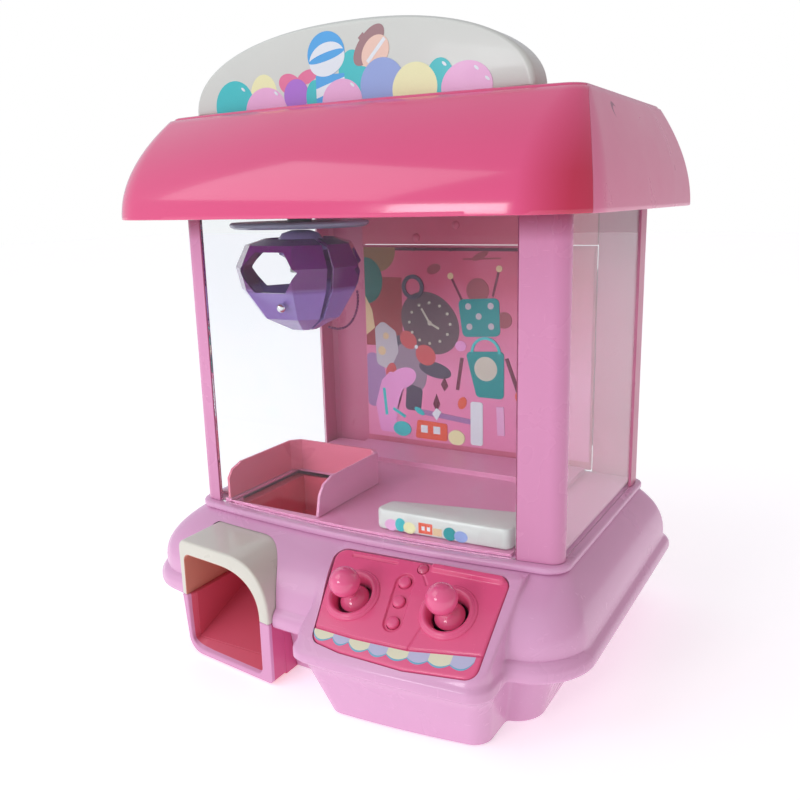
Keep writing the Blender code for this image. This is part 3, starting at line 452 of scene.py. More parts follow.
GREY_PLASTIC = plastic("crane_grey", (150, 150, 160), 0.42)
RUBBER = plastic("tyre_black", (45, 42, 46), 0.75, grain=0.08)
MOTOR = plastic("motor_steel", (176, 176, 182), 0.35, metallic=1.0)
PLATE = plastic("plate_pink", (206, 146, 184), 0.42)
PURPLE = plastic("jaw_purple", (116, 30, 122), 0.12, transmission=0.25, coat=0.3, colours=(
    # below 224 mm the jaws turn lilac (160, 130, 204): painted light shining through them from behind
    (above("Z", 228.0, 224.0), (160, 130, 204)),))


# ---- base

PANEL_Y, PANEL_Z, PANEL_SLOPE = -67.0, 82.0, math.radians(33.5)
PANEL_CORNERS = [(8.0, -66.5), (27.0, -68.9), (66.0, -68.8), (105.7, -63.8), (104.5, -3.0), (-6.0, -6.6)]
PANEL_NORMAL = (0.0, -math.sin(PANEL_SLOPE), math.cos(PANEL_SLOPE))
DECK, WALL = 85.0, 2.5
CHUTE_LEFT, CHUTE_RIGHT, CHUTE_SPLIT, HOOD_TOP = -106.0, -30.0, 40.0, 76.5
MOUTH_FRONT, MOUTH_SKEW = -112.0, 0.114


def on_panel(u, v, h):
    """A point given on the sloping control panel: u to the right, v up the slope, h out of it."""
    _, s, c = PANEL_NORMAL
    return (float(u), float(PANEL_Y + v * c + h * s), float(PANEL_Z - v * s + h * c))


def base_rows():
    """(z, outline) rows of the base from the table to the deck: foot, lip, dome and rim."""
    rows = []
    for z, out in ((1.0, -0.8), (1.2, -0.4), (1.6, -0.12), (2.4, 0.0), (6.0, 0.0), (11.0, 0.0), (16.0, 0.0),
                   (21.0, 0.0), (26.0, 0.0), (31.0, 0.0), (34.0, 0.0), (35.6, 0.0)):
        t = (z - 1.0) / 35.0
        rows.append((z, (122 + 9 * t + out, -78 - 5 * t - out, 106 + 6 * t + out, 10 + 2 * t, 14 + 2 * t,
                         12 + t)))
    for z, half in ((36.0, 131.4), (36.1, 134.0), (36.2, 141.0), (36.3, 146.5), (36.6, 148.4), (37.4, 149.4),
                    (39.0, 150.0), (40.0, 150.0), (41.0, 150.0), (42.2, 149.8), (43.4, 149.4), (44.5, 148.6),
                    (45.6, 147.6), (46.5, 146.6)):
        s = (half - 131) / 19
        rows.append((z, (half, -83 - 7.8 * s, 112 + 9 * s, 12 + 7 * s, 16 + 12 * s, 13 + s)))
    steps = 36
    for k in range(steps + 1):
        t = 1 - k / steps
        side = bulge(t, 2.6)
        rows.append((47.5 + 33.0 * (1 - t), (128 + 18 * side, -56 - 31.3 * side, 111.5 + 6 * side, 10 + 8 * t,
                                             12 + 14 * t, 11 + 2 * t)))
    for z, p in ((80.7, 0.9), (80.95, 1.5), (81.3, 1.9), (82.0, 2.1), (83.6, 2.1), (84.3, 1.8), (84.75, 1.2),
                 (85.0, 0.3)):
        rows.append((z, (128 + p, -56 - p, 111.5 + p, 10, 12, 11)))
    return rows


CONSOLE = {
    "z": [1.0, 33.0, 33.6, 34.2, 35.2, 39.5, 41.0, 42.2, 43.5, 79.5],
    "x0": [13.0, -0.8, -2.5, -4.2, -5.0, -5.0, -4.6, -3.6, -3.0, -3.0],
    "x1": [106.0, 110.9, 111.8, 112.4, 113.0, 113.0, 112.6, 111.6, 111.0, 111.0],
    "front": [-117.5, -124.9, -127.2, -128.8, -129.8, -129.8, -129.3, -128.2, -127.5, -127.5],
    "curl": [9e-4, 6.1e-4, 5.6e-4, 5.1e-4, 5e-4, 5e-4, 5e-4, 5e-4, 5e-4, 5e-4],
    "radius": [9.0, 10.0, 10.4, 10.8, 11.0, 11.0, 10.8, 10.4, 10.0, 10.0],
}


def console_outline(z):
    """The console's plan at a height: its front bends back to the right."""
    x0, x1, front, curl, radius = (float(np.interp(z, CONSOLE["z"], CONSOLE[key]))
                                   for key in ("x0", "x1", "front", "curl", "radius"))
    points = [(x0, 60.0)] + arc(x0 + radius, front + radius, radius, 180, 90)
    points += [(x0 + radius + (x1 - x0 - 2 * radius) * i / 40, front) for i in range(1, 40)]
    points += arc(x1 - radius, front + radius, radius, 270, 90) + [(x1, 60.0)]
    return [(x, y + curl * x * x if y < 0 else y) for x, y in points]


MIDDLE = np.array((40.0, 20.0))


def polar(points, angles):
    """Distance from MIDDLE to a closed outline along each angle."""
    x, y = (np.array(dense(points, 0.7)) - MIDDLE).T
    return np.interp(angles, np.arctan2(y, x), np.hypot(x, y), period=2 * np.pi)


def blend(a, b, k, sign):
    """The larger (sign 1) or smaller (sign -1) of two values, with the crossing rounded by k."""
    return 0.5 * (a + b + sign * np.sqrt((a - b) ** 2 + k * k))


def plane_reach(z, h, angles):
    """Distance from MIDDLE to the panel's plane, moved out by h, at a height."""
    y = PANEL_Y + (z - PANEL_Z) * math.cos(PANEL_SLOPE) / math.sin(PANEL_SLOPE) - h / math.sin(PANEL_SLOPE)
    sine = np.minimum(np.sin(angles), -0.02)
    return np.minimum((y - MIDDLE[1]) / sine, 900.0)


def arch(inset, low, steps=40):
    """Outline (x, z) of the outlet: square at the left, a large rounded shoulder at the right."""
    left, right = CHUTE_LEFT + inset[0], CHUTE_RIGHT - inset[1]
    top, r = HOOD_TOP - inset[2], 5.0
    points = [(left, low)] + arc(left + r, top - r, r, 180, -90, 8)
    reach, power = 34.0, 2.4
    for i in range(steps + 1):
        a = math.radians(90 - 90 * i / steps)
        points.append((right - reach + reach * max(math.cos(a), 0) ** (2 / power),
                       CHUTE_SPLIT + (top - CHUTE_SPLIT) * max(math.sin(a), 0) ** (2 / power)))
    return points + [(right, low)]


def extrude_z(points, low, high):
    return loft([[(x, y, z) for x, y in points] for z in (low, high)])


def extrude_y(points, low, high):
    return loft([[(x, y, z) for x, z in points] for y in (low, high)])


def panel_prism(layers):
    """A closed solid through (points, height) layers over the control panel."""
    return loft([[on_panel(u, v, h) for u, v in points] for points, h in layers])


def square(x0, y0, x1, y1):
    return [(x0, y0), (x1, y0), (x1, y1), (x0, y1)]


def build_base():
    rows = base_rows()
    fine = np.linspace(-np.pi, np.pi, 6001)[:-1]
    reach = np.maximum(polar(outline(*rows[18][1]), fine), polar(console_outline(38.0), fine))
    x, y = reach * np.cos(fine), reach * np.sin(fine)
    along = np.concatenate([[0], np.cumsum(np.hypot(np.diff(x, append=x[0]), np.diff(y, append=y[0])))])
    count = 760
    angles = np.interp(np.linspace(0, along[-1], count + 1)[:-1], along, np.append(fine, np.pi))
    zs = np.array([z for z, _ in rows])
    base = np.array([polar(outline(*numbers), angles) for _, numbers in rows])
    bump = np.array([polar(console_outline(z), angles) for z in zs])

    def section(z, inset):
        """Wall distance at a height; inset moves it in, for the hollow."""
        if not inset:
            i = int(np.argmin(abs(zs - z)))
            if z > 80.5:
                return base[i]
            console = blend(bump[i], plane_reach(z, 0.0, angles), 2.5, -1)
            return blend(base[i], console, float(np.interp(z, (70.0, 80.5), (3.0, 0.6))), 1)
        walls, bumps = [], []
        for level in (z - WALL, z, z + WALL):
            share = np.interp(level, zs, np.arange(len(zs)))
            i = min(int(share), len(zs) - 2)
            f = share - i
            walls.append(base[i] * (1 - f) + base[i + 1] * f)
            bumps.append(bump[i] * (1 - f) + bump[i + 1] * f)
        console = np.minimum(np.min(bumps, 0) - inset, plane_reach(z, -6.3, angles))
        return np.maximum(np.min(walls, 0) - inset, console)

    def loop(z, inset):
        r = section(z, inset)
        return [(float(a), float(b), z) for a, b in
                zip(MIDDLE[0] + r * np.cos(angles), MIDDLE[1] + r * np.sin(angles))]

    outer = [loop(z, 0.0) for z in zs]
    inner = [loop(z, 2.3) for z in (1.0, 10.0, 20.0, 30.0, 38.4, 38.9, 40.0, 43.0, 46.0, 50.0, 55.0, 60.0,
                                    65.0, 70.0, 74.0, 78.0, 82.5)]
    shell = make("base_visual", loft(inner[::-1] + outer), merge=False, angle=None)
    seat, hole = rounded(moved_in(PANEL_CORNERS, -0.4), 7.4), rounded(moved_in(PANEL_CORNERS, 3.5), 4.0)
    deck = [(-108, 98), (-108, -42), (-103, -42), (-103, -54), (-33, -54), (-33, -42), (108, -42), (108, 98)]
    cut(shell, panel_prism([(hole, -24), (hole, -3.3), (seat, -3.3), (seat, 30)]),
        extrude_y(arch((-0.4, -0.4, -0.4), -5), -140, -45), extrude_z(deck, 78, 95),
        extrude_z(square(-67.5, 95, -56.5, 125), 14.5, 19.5))
    finish_mesh(shell, [BASE], "cabin", 50)
    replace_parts(shell, "base_shell")


build_base()


# ---- control panel

CUPS = {"left": (19.2, -34.8), "right": (78.0, -31.5)}
BUTTONS = [(46.2, -19.9), (47.9, -32.0), (50.0, -44.8)]
LIGHT = (53.3, -9.3)
PIVOT = -8.0


def near_line(u, v, points):
    """Distance from (u, v) to a broken line."""
    best = np.full(np.shape(u), 1e9)
    for (x0, y0), (x1, y1) in zip(points, points[1:]):
        dx, dy = x1 - x0, y1 - y0
        t = np.clip(((u - x0) * dx + (v - y0) * dy) / max(dx * dx + dy * dy, 1e-9), 0, 1)
        best = np.minimum(best, np.hypot(u - x0 - t * dx, v - y0 - t * dy))
    return best


def step_up(x, low, high):
    t = np.clip((x - low) / (high - low), 0, 1)
    return t * t * (3 - 2 * t)


BAND = [(3.0, -58.0), (31.9, -58.6), (64.8, -57.1), (108.0, -49.7)]
MARKS = [(-2.2, 1.3, 3.4, [(60.0, -6.6), (99.0, -5.6)]), (0.9, 0.3, 1.1, [(7.0, -10.0), (36.0, -9.2)]),
         (0.5, 0.15, 0.8, [(55.5, -13.5), (59.5, -18.5)]), (0.5, 0.15, 0.8, [(67.1, -44.0), (64.6, -56.7)]),
         (0.7, 0.2, 0.9, BAND), (1.2, 5.0, 5.9, [BUTTONS[0], BUTTONS[-1]])]
CROWN, CROWN_MIDDLE, CROWN_REACH, PANEL_ROUND = 0.9, -34.0, 33.0, 1.5


def panel_height(u, v, border):
    """Height of the moulded face: a crown, a bar, grooves, seams, the button recess and a round border.

    A row of MARKS is depth, half width of its floor, half width at its rim, and the line that it follows.
    """
    h = CROWN * (1 - ((v - CROWN_MIDDLE) / CROWN_REACH) ** 2)
    for depth, floor, rim, line in MARKS:
        h = h - depth * (1 - step_up(near_line(u, v, line), floor, rim))
    gap = PANEL_ROUND - np.minimum(near_line(u, v, border), PANEL_ROUND)
    return h - (PANEL_ROUND - np.sqrt(np.maximum(PANEL_ROUND ** 2 - gap ** 2, 0)))


def build_panel():
    edge = np.array(dense(rounded(PANEL_CORNERS, 7.0, 14), 0.5))
    count = 720
    lengths = np.concatenate([[0], np.cumsum(np.hypot(*np.diff(edge, axis=0, append=edge[:1]).T))])
    closed = np.vstack([edge, edge[:1]])
    where = np.linspace(0, lengths[-1], count + 1)[:-1]
    ring = np.stack([np.interp(where, lengths, closed[:, 0]), np.interp(where, lengths, closed[:, 1])], 1)
    middle = np.array((50.0, -36.0))
    out = ring - middle
    reach = np.hypot(out[:, 0], out[:, 1])[:, None]
    depths = [0.0, 0.06, 0.16, 0.32, 0.52, 0.78, 1.1, 1.5, 2.0, 2.6]
    loops = [middle + out * (reach - d) / reach for d in depths]
    inner = 118
    loops += [middle + out * ((reach - 2.6) * (1 - k / inner)) / reach for k in range(1, inner)]
    points = np.vstack(loops + [middle[None, :]])
    u, v = points[:, 0], points[:, 1]
    h = panel_height(u, v, [tuple(p) for p in closed[::2]] + [tuple(closed[0])])
    verts = [on_panel(*place) for place in zip(u, v, h)]
    rows = len(loops)
    faces = []
    for k in range(rows - 1):
        faces += band(k * count, (k + 1) * count, count)
    last = (rows - 1) * count
    faces += [(last + i, last + (i + 1) % count, rows * count) for i in range(count)]
    start = len(verts)
    verts += [on_panel(*place, -3.0) for place in ring]
    faces += band(start, 0, count) + [tuple(start + i for i in reversed(range(count)))]
    panel = make("panel_visual", (verts, faces), merge=False, angle=None)

    def well(u, v, r):
        circle = [(u + r * math.cos(a), v + r * math.sin(a)) for a in np.linspace(0, 2 * np.pi, 65)[:-1]]
        return panel_prism([(circle, -20), (circle, 20)])

    cut(panel, *[well(*place, 12.6) for place in CUPS.values()], well(*LIGHT, 3.6),
        *[well(*place, 4.0) for place in BUTTONS])
    finish_mesh(panel, [PANEL_MAT], "cabin", 50)
    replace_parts(panel, "control_panel")

    rim = [(10.3, -6.5), (10.2, -4.6), (10.45, -3.0), (10.9, -1.4), (11.3, 0.0), (11.65, 1.1), (12.1, 2.0),
           (12.7, 2.6), (13.4, 2.9), (14.0, 2.85), (14.6, 2.6), (15.0, 2.25), (15.25, 2.0), (15.5, 1.95),
           (16.0, 1.8), (16.4, 1.4), (16.6, 0.8), (16.6, -1.0), (12.6, -1.0), (12.6, -6.5)]
    dome, hole, knob, knob_height, neck = 10.0, 8.6, 8.7, 14.0, 3.4
    inside, shoulder, low = (math.degrees(math.asin(share)) for share in (1.8 / hole, neck / dome, neck / knob))
    stick = [(0, PIVOT - 9), (1.5, PIVOT - 9), (1.8, PIVOT - 8.7)]
    stick += arc(0, PIVOT, hole, 90 - inside, inside - 60) + arc(0, PIVOT, dome, 30, 60 - shoulder, 14)
    stick += [(2.95, 1.75), (2.7, 2.2), (2.6, 2.9), (2.6, 4.2), (2.75, 5.1), (3.1, 5.75)]
    stick += arc(0, knob_height, knob, low - 90, 180 - low, 29)[:-1] + [(0, knob_height + knob)]
    for side, place in CUPS.items():
        centre = on_panel(*place, 0)
        lathe("cup_ring_" + side, rim, centre, PANEL_NORMAL, [PANEL_MAT], "cabin", 96, 30)
        visual = lathe("stick_visual_" + side, stick, centre, PANEL_NORMAL, [KNOB], "joystick_" + side,
                       72, 40)
        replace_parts(visual, "joystick_%s_stick" % side)
    cap = [(0, -5.6), (4.6, -5.6), (4.6, -4.4), (3.6, -4.4), (3.6, 0.9), (3.52, 1.25), (3.3, 1.55), (2.9, 1.8),
           (2.2, 1.95), (1.2, 2.0), (0, 2.02)]
    for i, place in enumerate(BUTTONS, 1):
        button = lathe("button_cap_%d" % i, cap, on_panel(*place, 0), PANEL_NORMAL, [PANEL_MAT],
                       "button_%d" % i, 48)
        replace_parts(button, "button_%d" % i)
    dome = [(0, -3), (3.2, -3), (3.2, 0.3), (3.05, 0.8), (2.7, 1.2), (2.1, 1.5), (1.2, 1.66), (0, 1.7)]
    lens = plastic("lamp_pink", (236, 96, 142), 0.12, transmission=0.25, coat=0.5)
    lamp = lathe("lamp_visual", dome, on_panel(*LIGHT, 0), PANEL_NORMAL, [lens], "cabin", 48)
    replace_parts(lamp, "start_light")


def build_scallops():
    """Printed scallops along the panel's lower band."""
    tips = [(5.7, -58.9), (19.8, -61.3), (30.3, -61.5), (43.0, -62.5), (54.2, -62.3), (66.3, -61.4),
            (77.9, -60.1), (90.2, -59.0), (102.2, -54.3)]
    low_heights = [-65.2, -64.8, -65.5, -65.3, -64.4, -63.2, -62.0, -60.4]
    blue = ink("scallop_blue", (112, 176, 204))
    fills = [ink("scallop_cream", (226, 226, 196)), ink("scallop_lilac", (190, 190, 222))]
    verts, faces, indices = [], [], []
    border = dense(rounded(PANEL_CORNERS, 7.0, 14), 0.5)
    border.append(border[0])

    def patch(rows, lift, index):
        """A thin closed sheet over a grid of (u, v) points, laid on the moulded face."""
        start, wide, tall = len(verts), len(rows[0]), len(rows)
        flat = np.array([p for row in rows for p in row])
        heights = panel_height(flat[:, 0], flat[:, 1], border)
        for side in (lift, -0.12):
            verts.extend(on_panel(*p, h + side) for p, h in zip(flat, heights))
        total = wide * tall
        for k in range(tall - 1):
            for i in range(wide - 1):
                a = start + k * wide + i
                quad = (a, a + 1, a + wide + 1, a + wide)
                faces.extend([quad, tuple(q + total for q in reversed(quad))])
        rim = [start + i for i in range(wide)] + [start + k * wide + wide - 1 for k in range(1, tall)]
        rim += [start + (tall - 1) * wide + i for i in reversed(range(wide - 1))]
        rim += [start + k * wide for k in reversed(range(1, tall - 1))]
        for a, b in zip(rim, rim[1:] + rim[:1]):
            faces.append((a, b, b + total, a + total))
        indices.extend([index] * (len(faces) - len(indices)))

    def scallop(a, b, low, grow, lift, index):
        a, b = np.array(a), np.array(b)
        top_a, top_b = a + (0, -0.7 * grow), b + (0, -0.7 * grow)
        depth = float((a + b)[1] / 2 - low) * 0.85 + 0.3 * grow
        across = (b - a) / np.linalg.norm(b - a)
        down = np.array((across[1], -across[0]))
        rows = []
        for k in range(9):
            rows.append([])
            for s in (i / 18 for i in range(19)):
                top = top_a + (top_b - top_a) * s
                base = near_band(top)
                rows[-1].append(tuple(base + (top + down * depth * (1 - (2 * s - 1) ** 2) - base) * k / 8))
        patch(rows, lift, index)

    def near_band(point):
        """The place on the band's seam straight above a point."""
        us, vs = zip(*BAND)
        return np.array((point[0], float(np.interp(point[0], us, vs)) - 1.3))

    for i, low in enumerate(low_heights):
        scallop(tips[i], tips[i + 1], low, 1.0, 0.05, 0)
        scallop(tips[i], tips[i + 1], low, 0.0, 0.1, 1 + i % 2)
    make("panel_scallops", (verts, faces), [blue] + fills, "cabin", merge=False, indices=indices)


build_panel()
build_scallops()


# ---- prize outlet

def mouth_y(x):
    """The outlet's mouth, which turns back to the left."""
    return MOUTH_FRONT + MOUTH_SKEW * (CHUTE_RIGHT - x)


def build_outlet():
    outer, inner = arch((0, 0, 0), CHUTE_SPLIT), arch((4.5, 8, 9), CHUTE_SPLIT)
    rear, outer_round, inner_round = -62.0, 1.6, 0.6
    section = []
    for (x, z), (p, q) in zip(outer, inner):
        way = Vector((x - p, z - q)).normalized()
        section.append([(x, rear, z)])
        for a in range(0, 91, 15):
            out, on = (outer_round * (1 - f(math.radians(a))) for f in (math.cos, math.sin))
            section[-1].append((x - way.x * out, mouth_y(x) + on, z - way.y * out))
        for a in range(0, 91, 30):
            on, out = (inner_round * (1 - f(math.radians(a))) for f in (math.cos, math.sin))
            section[-1].append((p + way.x * out, mouth_y(p) + on, q + way.y * out))
        section[-1].append((p, rear, q))
    verts, faces = loft(section)
    cream = plastic("hood_cream", (216, 214, 202), 0.3, coat=0.15)
    # the arch's inner faces get a darker peach material than the cream: painted shade tinted by pink reflected
    # light
    peach = plastic("hood_inside_painted_shade", (214, 150, 132), 0.35)
    rim, inside = len(section[0]), range(8, 12)
    indices = [0, 0] + [int(i % rim in inside) for i in range(len(faces) - 2)]
    hood = make("hood_visual", (verts, faces), [cream, peach], "cabin", 30, False, indices)
    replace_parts(hood, "chute_hood")

    def front_edge(n):
        """A mask of the strip along the mouth's front edge."""
        skewed = n.math("ADD", n.axis("Y"), n.math("MULTIPLY", n.axis("X"), MOUTH_SKEW))
        return n.span(skewed, (mouth_y(0) + 2.6) * MM, (mouth_y(0) + 2.4) * MM)

    build_mouth(plastic("outlet_pink", (216, 92, 116), 0.35, colours=(
        (above("X", CHUTE_RIGHT - 1.0, CHUTE_RIGHT - 0.4), (214, 92, 140)), (front_edge, (222, 158, 198)))))


def build_mouth(outlet):
    """The outlet box from its CAD shape, with a moulded frame at its mouth that rounds the lower corners."""
    back, ramp, inner_left, inner_right, top = -98.0, 9.35, -98.5, -38.0, 39.7
    mesh = nodes["prize_chute"].data.copy()
    mesh.materials.clear()
    drop_normals(mesh)
    box = bpy.data.objects.new("outlet_visual", mesh)
    bpy.context.scene.collection.objects.link(box)
    cut(box, extrude_z(square(-120, -150, -20, back - 0.2), -2, top + 0.15))
    finish_mesh(box, [outlet], "cabin", 35)
    bevel(box, 0.4, 2)
    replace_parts(box, "prize_chute")

    outer = [(CHUTE_LEFT, top), *arc(-91.9, 12.2, 11.2, 180, 90), *arc(-32.5, 3.5, 2.5, 270, 90)]
    inner = [(-101.6, top), *arc(-90.3, 14.5, 10.0, 180, 90), *arc(-43.0, 9.5, 5.0, 270, 90)]
    outer.append((CHUTE_RIGHT, top))
    inner.append((inner_right, top))
    section = []
    for (x, z), (p, q) in zip(outer, inner):
        section.append([(x, back, z), (x, mouth_y(x), z), (p, mouth_y(p), q),
                        (min(max(p, inner_left), inner_right), back, max(q, ramp))])
    bevel(make("outlet_mouth_frame", loft(section), [outlet], "cabin", 35), 0.8, 3)


build_outlet()


# ---- cabin

CABIN_HALF, CABIN_FRONT, CABIN_REAR, CABIN_BOW, CABIN_TOP = 126.5, -53.5, 109.5, 10.0, 272.2
FOOT = DECK + 0.3


def front_y(x):
    """The cabin's bowed front."""
    return CABIN_FRONT - CABIN_BOW * (1 - (x / CABIN_HALF) ** 2)


def build_cabin():
    wall, r, widths, gap = 3.0, 8.0, {"left": 15.0, "right": 25.0}, 0.3
    for name, width in widths.items():
        side = -1 if name == "left" else 1
        inner, corner = CABIN_HALF - width, CABIN_HALF - r
        run = [inner + 0.5] + [inner + (corner - inner) * i / 6 for i in range(1, 6)]
        front = [(x, front_y(x)) for x in run] + arc(corner, front_y(corner) + r, r, -90, 90)
        front += [(CABIN_HALF, -45.8), (CABIN_HALF - 0.3, -45.5), (CABIN_HALF - wall, -45.5),
                  (CABIN_HALF - 5.5, -49.5), (inner, front_y(inner) + wall), (inner, front_y(inner) + 0.5)]
        rear = [(93, CABIN_REAR), (93, CABIN_REAR - wall), (CABIN_HALF - wall - 3, CABIN_REAR - wall),
                (CABIN_HALF - wall, CABIN_REAR - wall - 3), (CABIN_HALF - wall, 89), (CABIN_HALF, 89)]
        rear += arc(corner, CABIN_REAR - r, r, 0, 90)
        for end, plan, mat in (("front", front, POST), ("rear", rear, REAR_POST)):
            solid = extrude_z([(side * x, y) for x, y in plan], FOOT, CABIN_TOP)
            post = make("%s_post_%s" % (end, name), solid, [mat], "cabin", 35)
            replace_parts(post, "post_%s_%s" % (end, name))
            if end == "rear":
                bevel(post, 0.4, 2)
        pane = dress("%s_window" % name, CLEAR, 0.25)
        pane.visible_shadow = False
    left, right, steps = gap + widths["left"] - CABIN_HALF, CABIN_HALF - widths["right"] - gap, 60
    xs = [left + (right - left) * i / steps for i in range(steps + 1)]
    plan = [(x, front_y(x) + 0.5) for x in xs] + [(x, front_y(x) + 2.0) for x in reversed(xs)]
    pane = make("front_pane", extrude_z(plan, FOOT, CABIN_TOP), [CLEAR], "cabin", 35)
    pane.visible_shadow = False
    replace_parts(pane, "front_window")


build_cabin()


# ---- roof and sign

ROOF_LOW, ROOF_HIGH = 271.8, 332.5
ROOF_SEAM = [(-80.8, 250), (-80.8, 272), (-79.3, 285), (-74.8, 298), (-67, 311), (-56, 324), (-46, 332.5),
             (-38, 340)]


def roof_loops(inset):
    """Loops of the roof from its lower edge to its crown; inset moves them in, for the hollow."""
    loops = []
    steps = 26
    for k in range(steps + 1):
        t = 1 - k / steps
        out = bulge(t, 1.95)
        z = ROOF_LOW + (ROOF_HIGH - ROOF_LOW) * (1 - t)
        if k == 0 and inset:
            z -= 3
        if k == steps:
            z -= 1.6 + inset
        loops.append((z, (132.5 + 17.3 * out - inset, -53 - 47 * out + inset, 100 + 30 * out - inset, 9.5,
                          8 + 25 * out - inset, 7 + 5 * out - inset)))
    if not inset:
        lowest = [(z, (149.8 - back, -100 + back, 130 - back, 9.5, 33 - back, 12 - back)) for z, back in
                  ((ROOF_LOW, 0.9), (ROOF_LOW + 0.2, 0.3), (ROOF_LOW + 0.7, 0.0))]
        loops = lowest + loops[1:]
        for down, back in ((0.9, 0.35), (0.35, 1.2), (0.05, 2.4), (0.0, 4.0)):
            loops.append((ROOF_HIGH - down, (132.5 - back, -53 + back, 100 - back, 9.5, 8, 7)))
    return [[(x, y, z) for x, y in outline(*numbers, 18, 64)] for z, numbers in loops]


def build_roof():
    for name, mat, slot, way in (("roof_hood", HOOD_MAT, "hot_pink", 1),
                                 ("roof_shell", ROOF_MAT, "roof_pink", -1)):
        part = make(name + "_visual", loft(roof_loops(0)), merge=False, angle=None)
        cut(part, loft(roof_loops(WALL)))
        seam = [(y - 0.12 * way, z) for y, z in smooth_line(ROOF_SEAM, 6)]
        seam = [(190 * way, 250), *seam, (190 * way, 340)]
        cut(part, loft([[(x, y, z) for y, z in seam] for x in (-200, 200)]))
        finish_mesh(part, [mat], "cabin", 35)
        bevel(part, 0.3, 2, 60)
        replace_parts(part, name)


build_roof()

SIGN_MIDDLE, SIGN_HALF, SIGN_LOW, SIGN_TOP, SIGN_FRONT, SIGN_REAR = -2.5, 109.5, 332.8, 375.0, -50.5, -30.5


def build_sign():
    """A superellipse's upper half, with its front and rear edges rounded."""
    power, steps, turn = 2.19, 90, 3.0
    rim = []
    for i in range(steps + 1):
        a = math.pi * i / steps
        c, s = math.cos(a), max(math.sin(a), 0)
        rim.append((SIGN_MIDDLE + SIGN_HALF * math.copysign(abs(c) ** (2 / power), c),
                    SIGN_LOW + (SIGN_TOP - SIGN_LOW) * s ** (2 / power)))
    middle = Vector((SIGN_MIDDLE, SIGN_LOW + 14))
    loops = []
    rounds = [(SIGN_FRONT, 1, a) for a in range(90, -1, -10)] + [(SIGN_REAR, -1, a) for a in range(0, 91, 10)]
    for y, way, a in rounds:
        back = turn * (1 - math.sin(math.radians(a)))
        inset = turn * (1 - math.cos(math.radians(a)))
        loops.append([])
        for x, z in rim:
            inwards = (middle - Vector((x, z))).normalized()
            loops[-1].append((x + inwards.x * inset, y + way * back, max(z + inwards.y * inset, SIGN_LOW)))
    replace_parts(make("sign_visual", loft(loops), [CREAM], "cabin", 35), "sign")


build_sign()


# ---- CAD nodes that keep their shape

FENCE = plastic("fence_pink", (224, 122, 148), 0.3, coat=0.15, colours=(
    # the fence's right end, from x = -31 mm, is lighter (222, 150, 186): painted light
    (above("X", -38.0, -31.0), (222, 150, 186)),))

for finish, width, names in (
        (PLATE, 0.5, "bottom_plate"), (PLATE, 0.4, "battery_door"), (STEEL, 0.15, "door_hinge"),
        (STEEL, 0.2, "battery_door_screw rail_front rail_rear bridge_rod_left bridge_rod_right"),
        (GREY_PLASTIC, 0.4, "top_frame bridge_block_front bridge_block_rear trolley"),
        (GREY_PLASTIC, 0.2, "joystick_left_gimbal joystick_right_gimbal"), (RUBBER, 0.3, "x_wheel y_wheel"),
        (MOTOR, 0.3, "x_motor y_motor hoist_motor"), (CREAM, 0.2, "winch_drum"), (CREAM, 0.3, "claw_slider"),
        (DOOR, 0.4, "rear_door"), (HOOD_MAT, 0.4, "door_latch"), (FENCE, 0.5, "chute_fence"),
        (plastic("box_grey", (150, 150, 158), 0.5), 0.4, "battery_box"),
        (plastic("floor_pink", (224, 148, 186), 0.38), 0.5, "floor_tray"),
        (plastic("cover_cream", (208, 210, 206), 0.32), 0.4, "mechanism_cover"),
        (plastic("board_green", (34, 98, 62), 0.45), 0.15, "pcb"),
        (plastic("speaker_black", (40, 40, 44), 0.6), 0.3, "speaker"),
        (plastic("header_pink", (206, 100, 128), 0.35), 0.3, "back_header"),
        (plastic("switch_black", (42, 40, 44), 0.45), 0.3, "power_switch"),
        (plastic("disc_grey", (140, 140, 164), 0.25), 0.3, "trolley_disc"),
        (plastic("claw_lilac", (176, 150, 210), 0.25, coat=0.2), 0.3, "claw_head"),
        (plastic("chrome", (225, 226, 230), 0.06, metallic=1.0, scratches=0.2), 0.1, "jaw_ball"),
        # the card's print darkens towards the top, from 148 mm to 222 mm: painted shade under the roof
        (ink("card_print_roof_shade", (222, 134, 176), (196, 78, 112), 148.0, 222.0), 0.1, "backdrop_card")):
    for name in names.split():
        dress(name, finish, width)
for name in ("jaw_1", "jaw_2", "jaw_3"):
    dress(name, PURPLE, 0.4, 3, 18)


# ---- printed artwork

INKS = {
    "teal": (62, 186, 190), "deep_teal": (0, 140, 142), "dark_teal": (30, 96, 90), "lemon": (226, 226, 176),
    "olive": (140, 102, 70), "rose": (222, 168, 208), "violet": (164, 108, 200), "coral": (216, 112, 150),
    "sky": (76, 160, 220), "white": (216, 224, 230), "tan": (226, 192, 176), "umber": (152, 116, 120),
    "periwinkle": (140, 160, 212), "smoke": (98, 68, 82), "ash": (142, 120, 140), "slate": (78, 66, 88),
    "red": (196, 78, 84), "maroon": (110, 36, 66), "dusk": (150, 66, 82), "ivory": (196, 192, 178),
    "blush": (224, 150, 206), "plum": (160, 120, 170), "sand": (214, 186, 146), "rail": (92, 46, 66),
    "crimson": (150, 42, 54), "silver": (186, 178, 188), "orange": (222, 96, 72),
}


def disc(cx, cz, rx, rz=None, tilt=0.0, start=0, stop=360):
    """Outline of an ellipse or a slice of one."""
    rz, count, t = rz or rx, max(8, int(abs(stop - start) / 8)), math.radians(tilt)
    points = []
    for i in range(count if stop - start == 360 else count + 1):
        a = math.radians(start + (stop - start) * i / count)
        x, z = rx * math.cos(a), rz * math.sin(a)
        points.append((cx + x * math.cos(t) - z * math.sin(t), cz + x * math.sin(t) + z * math.cos(t)))
    return points


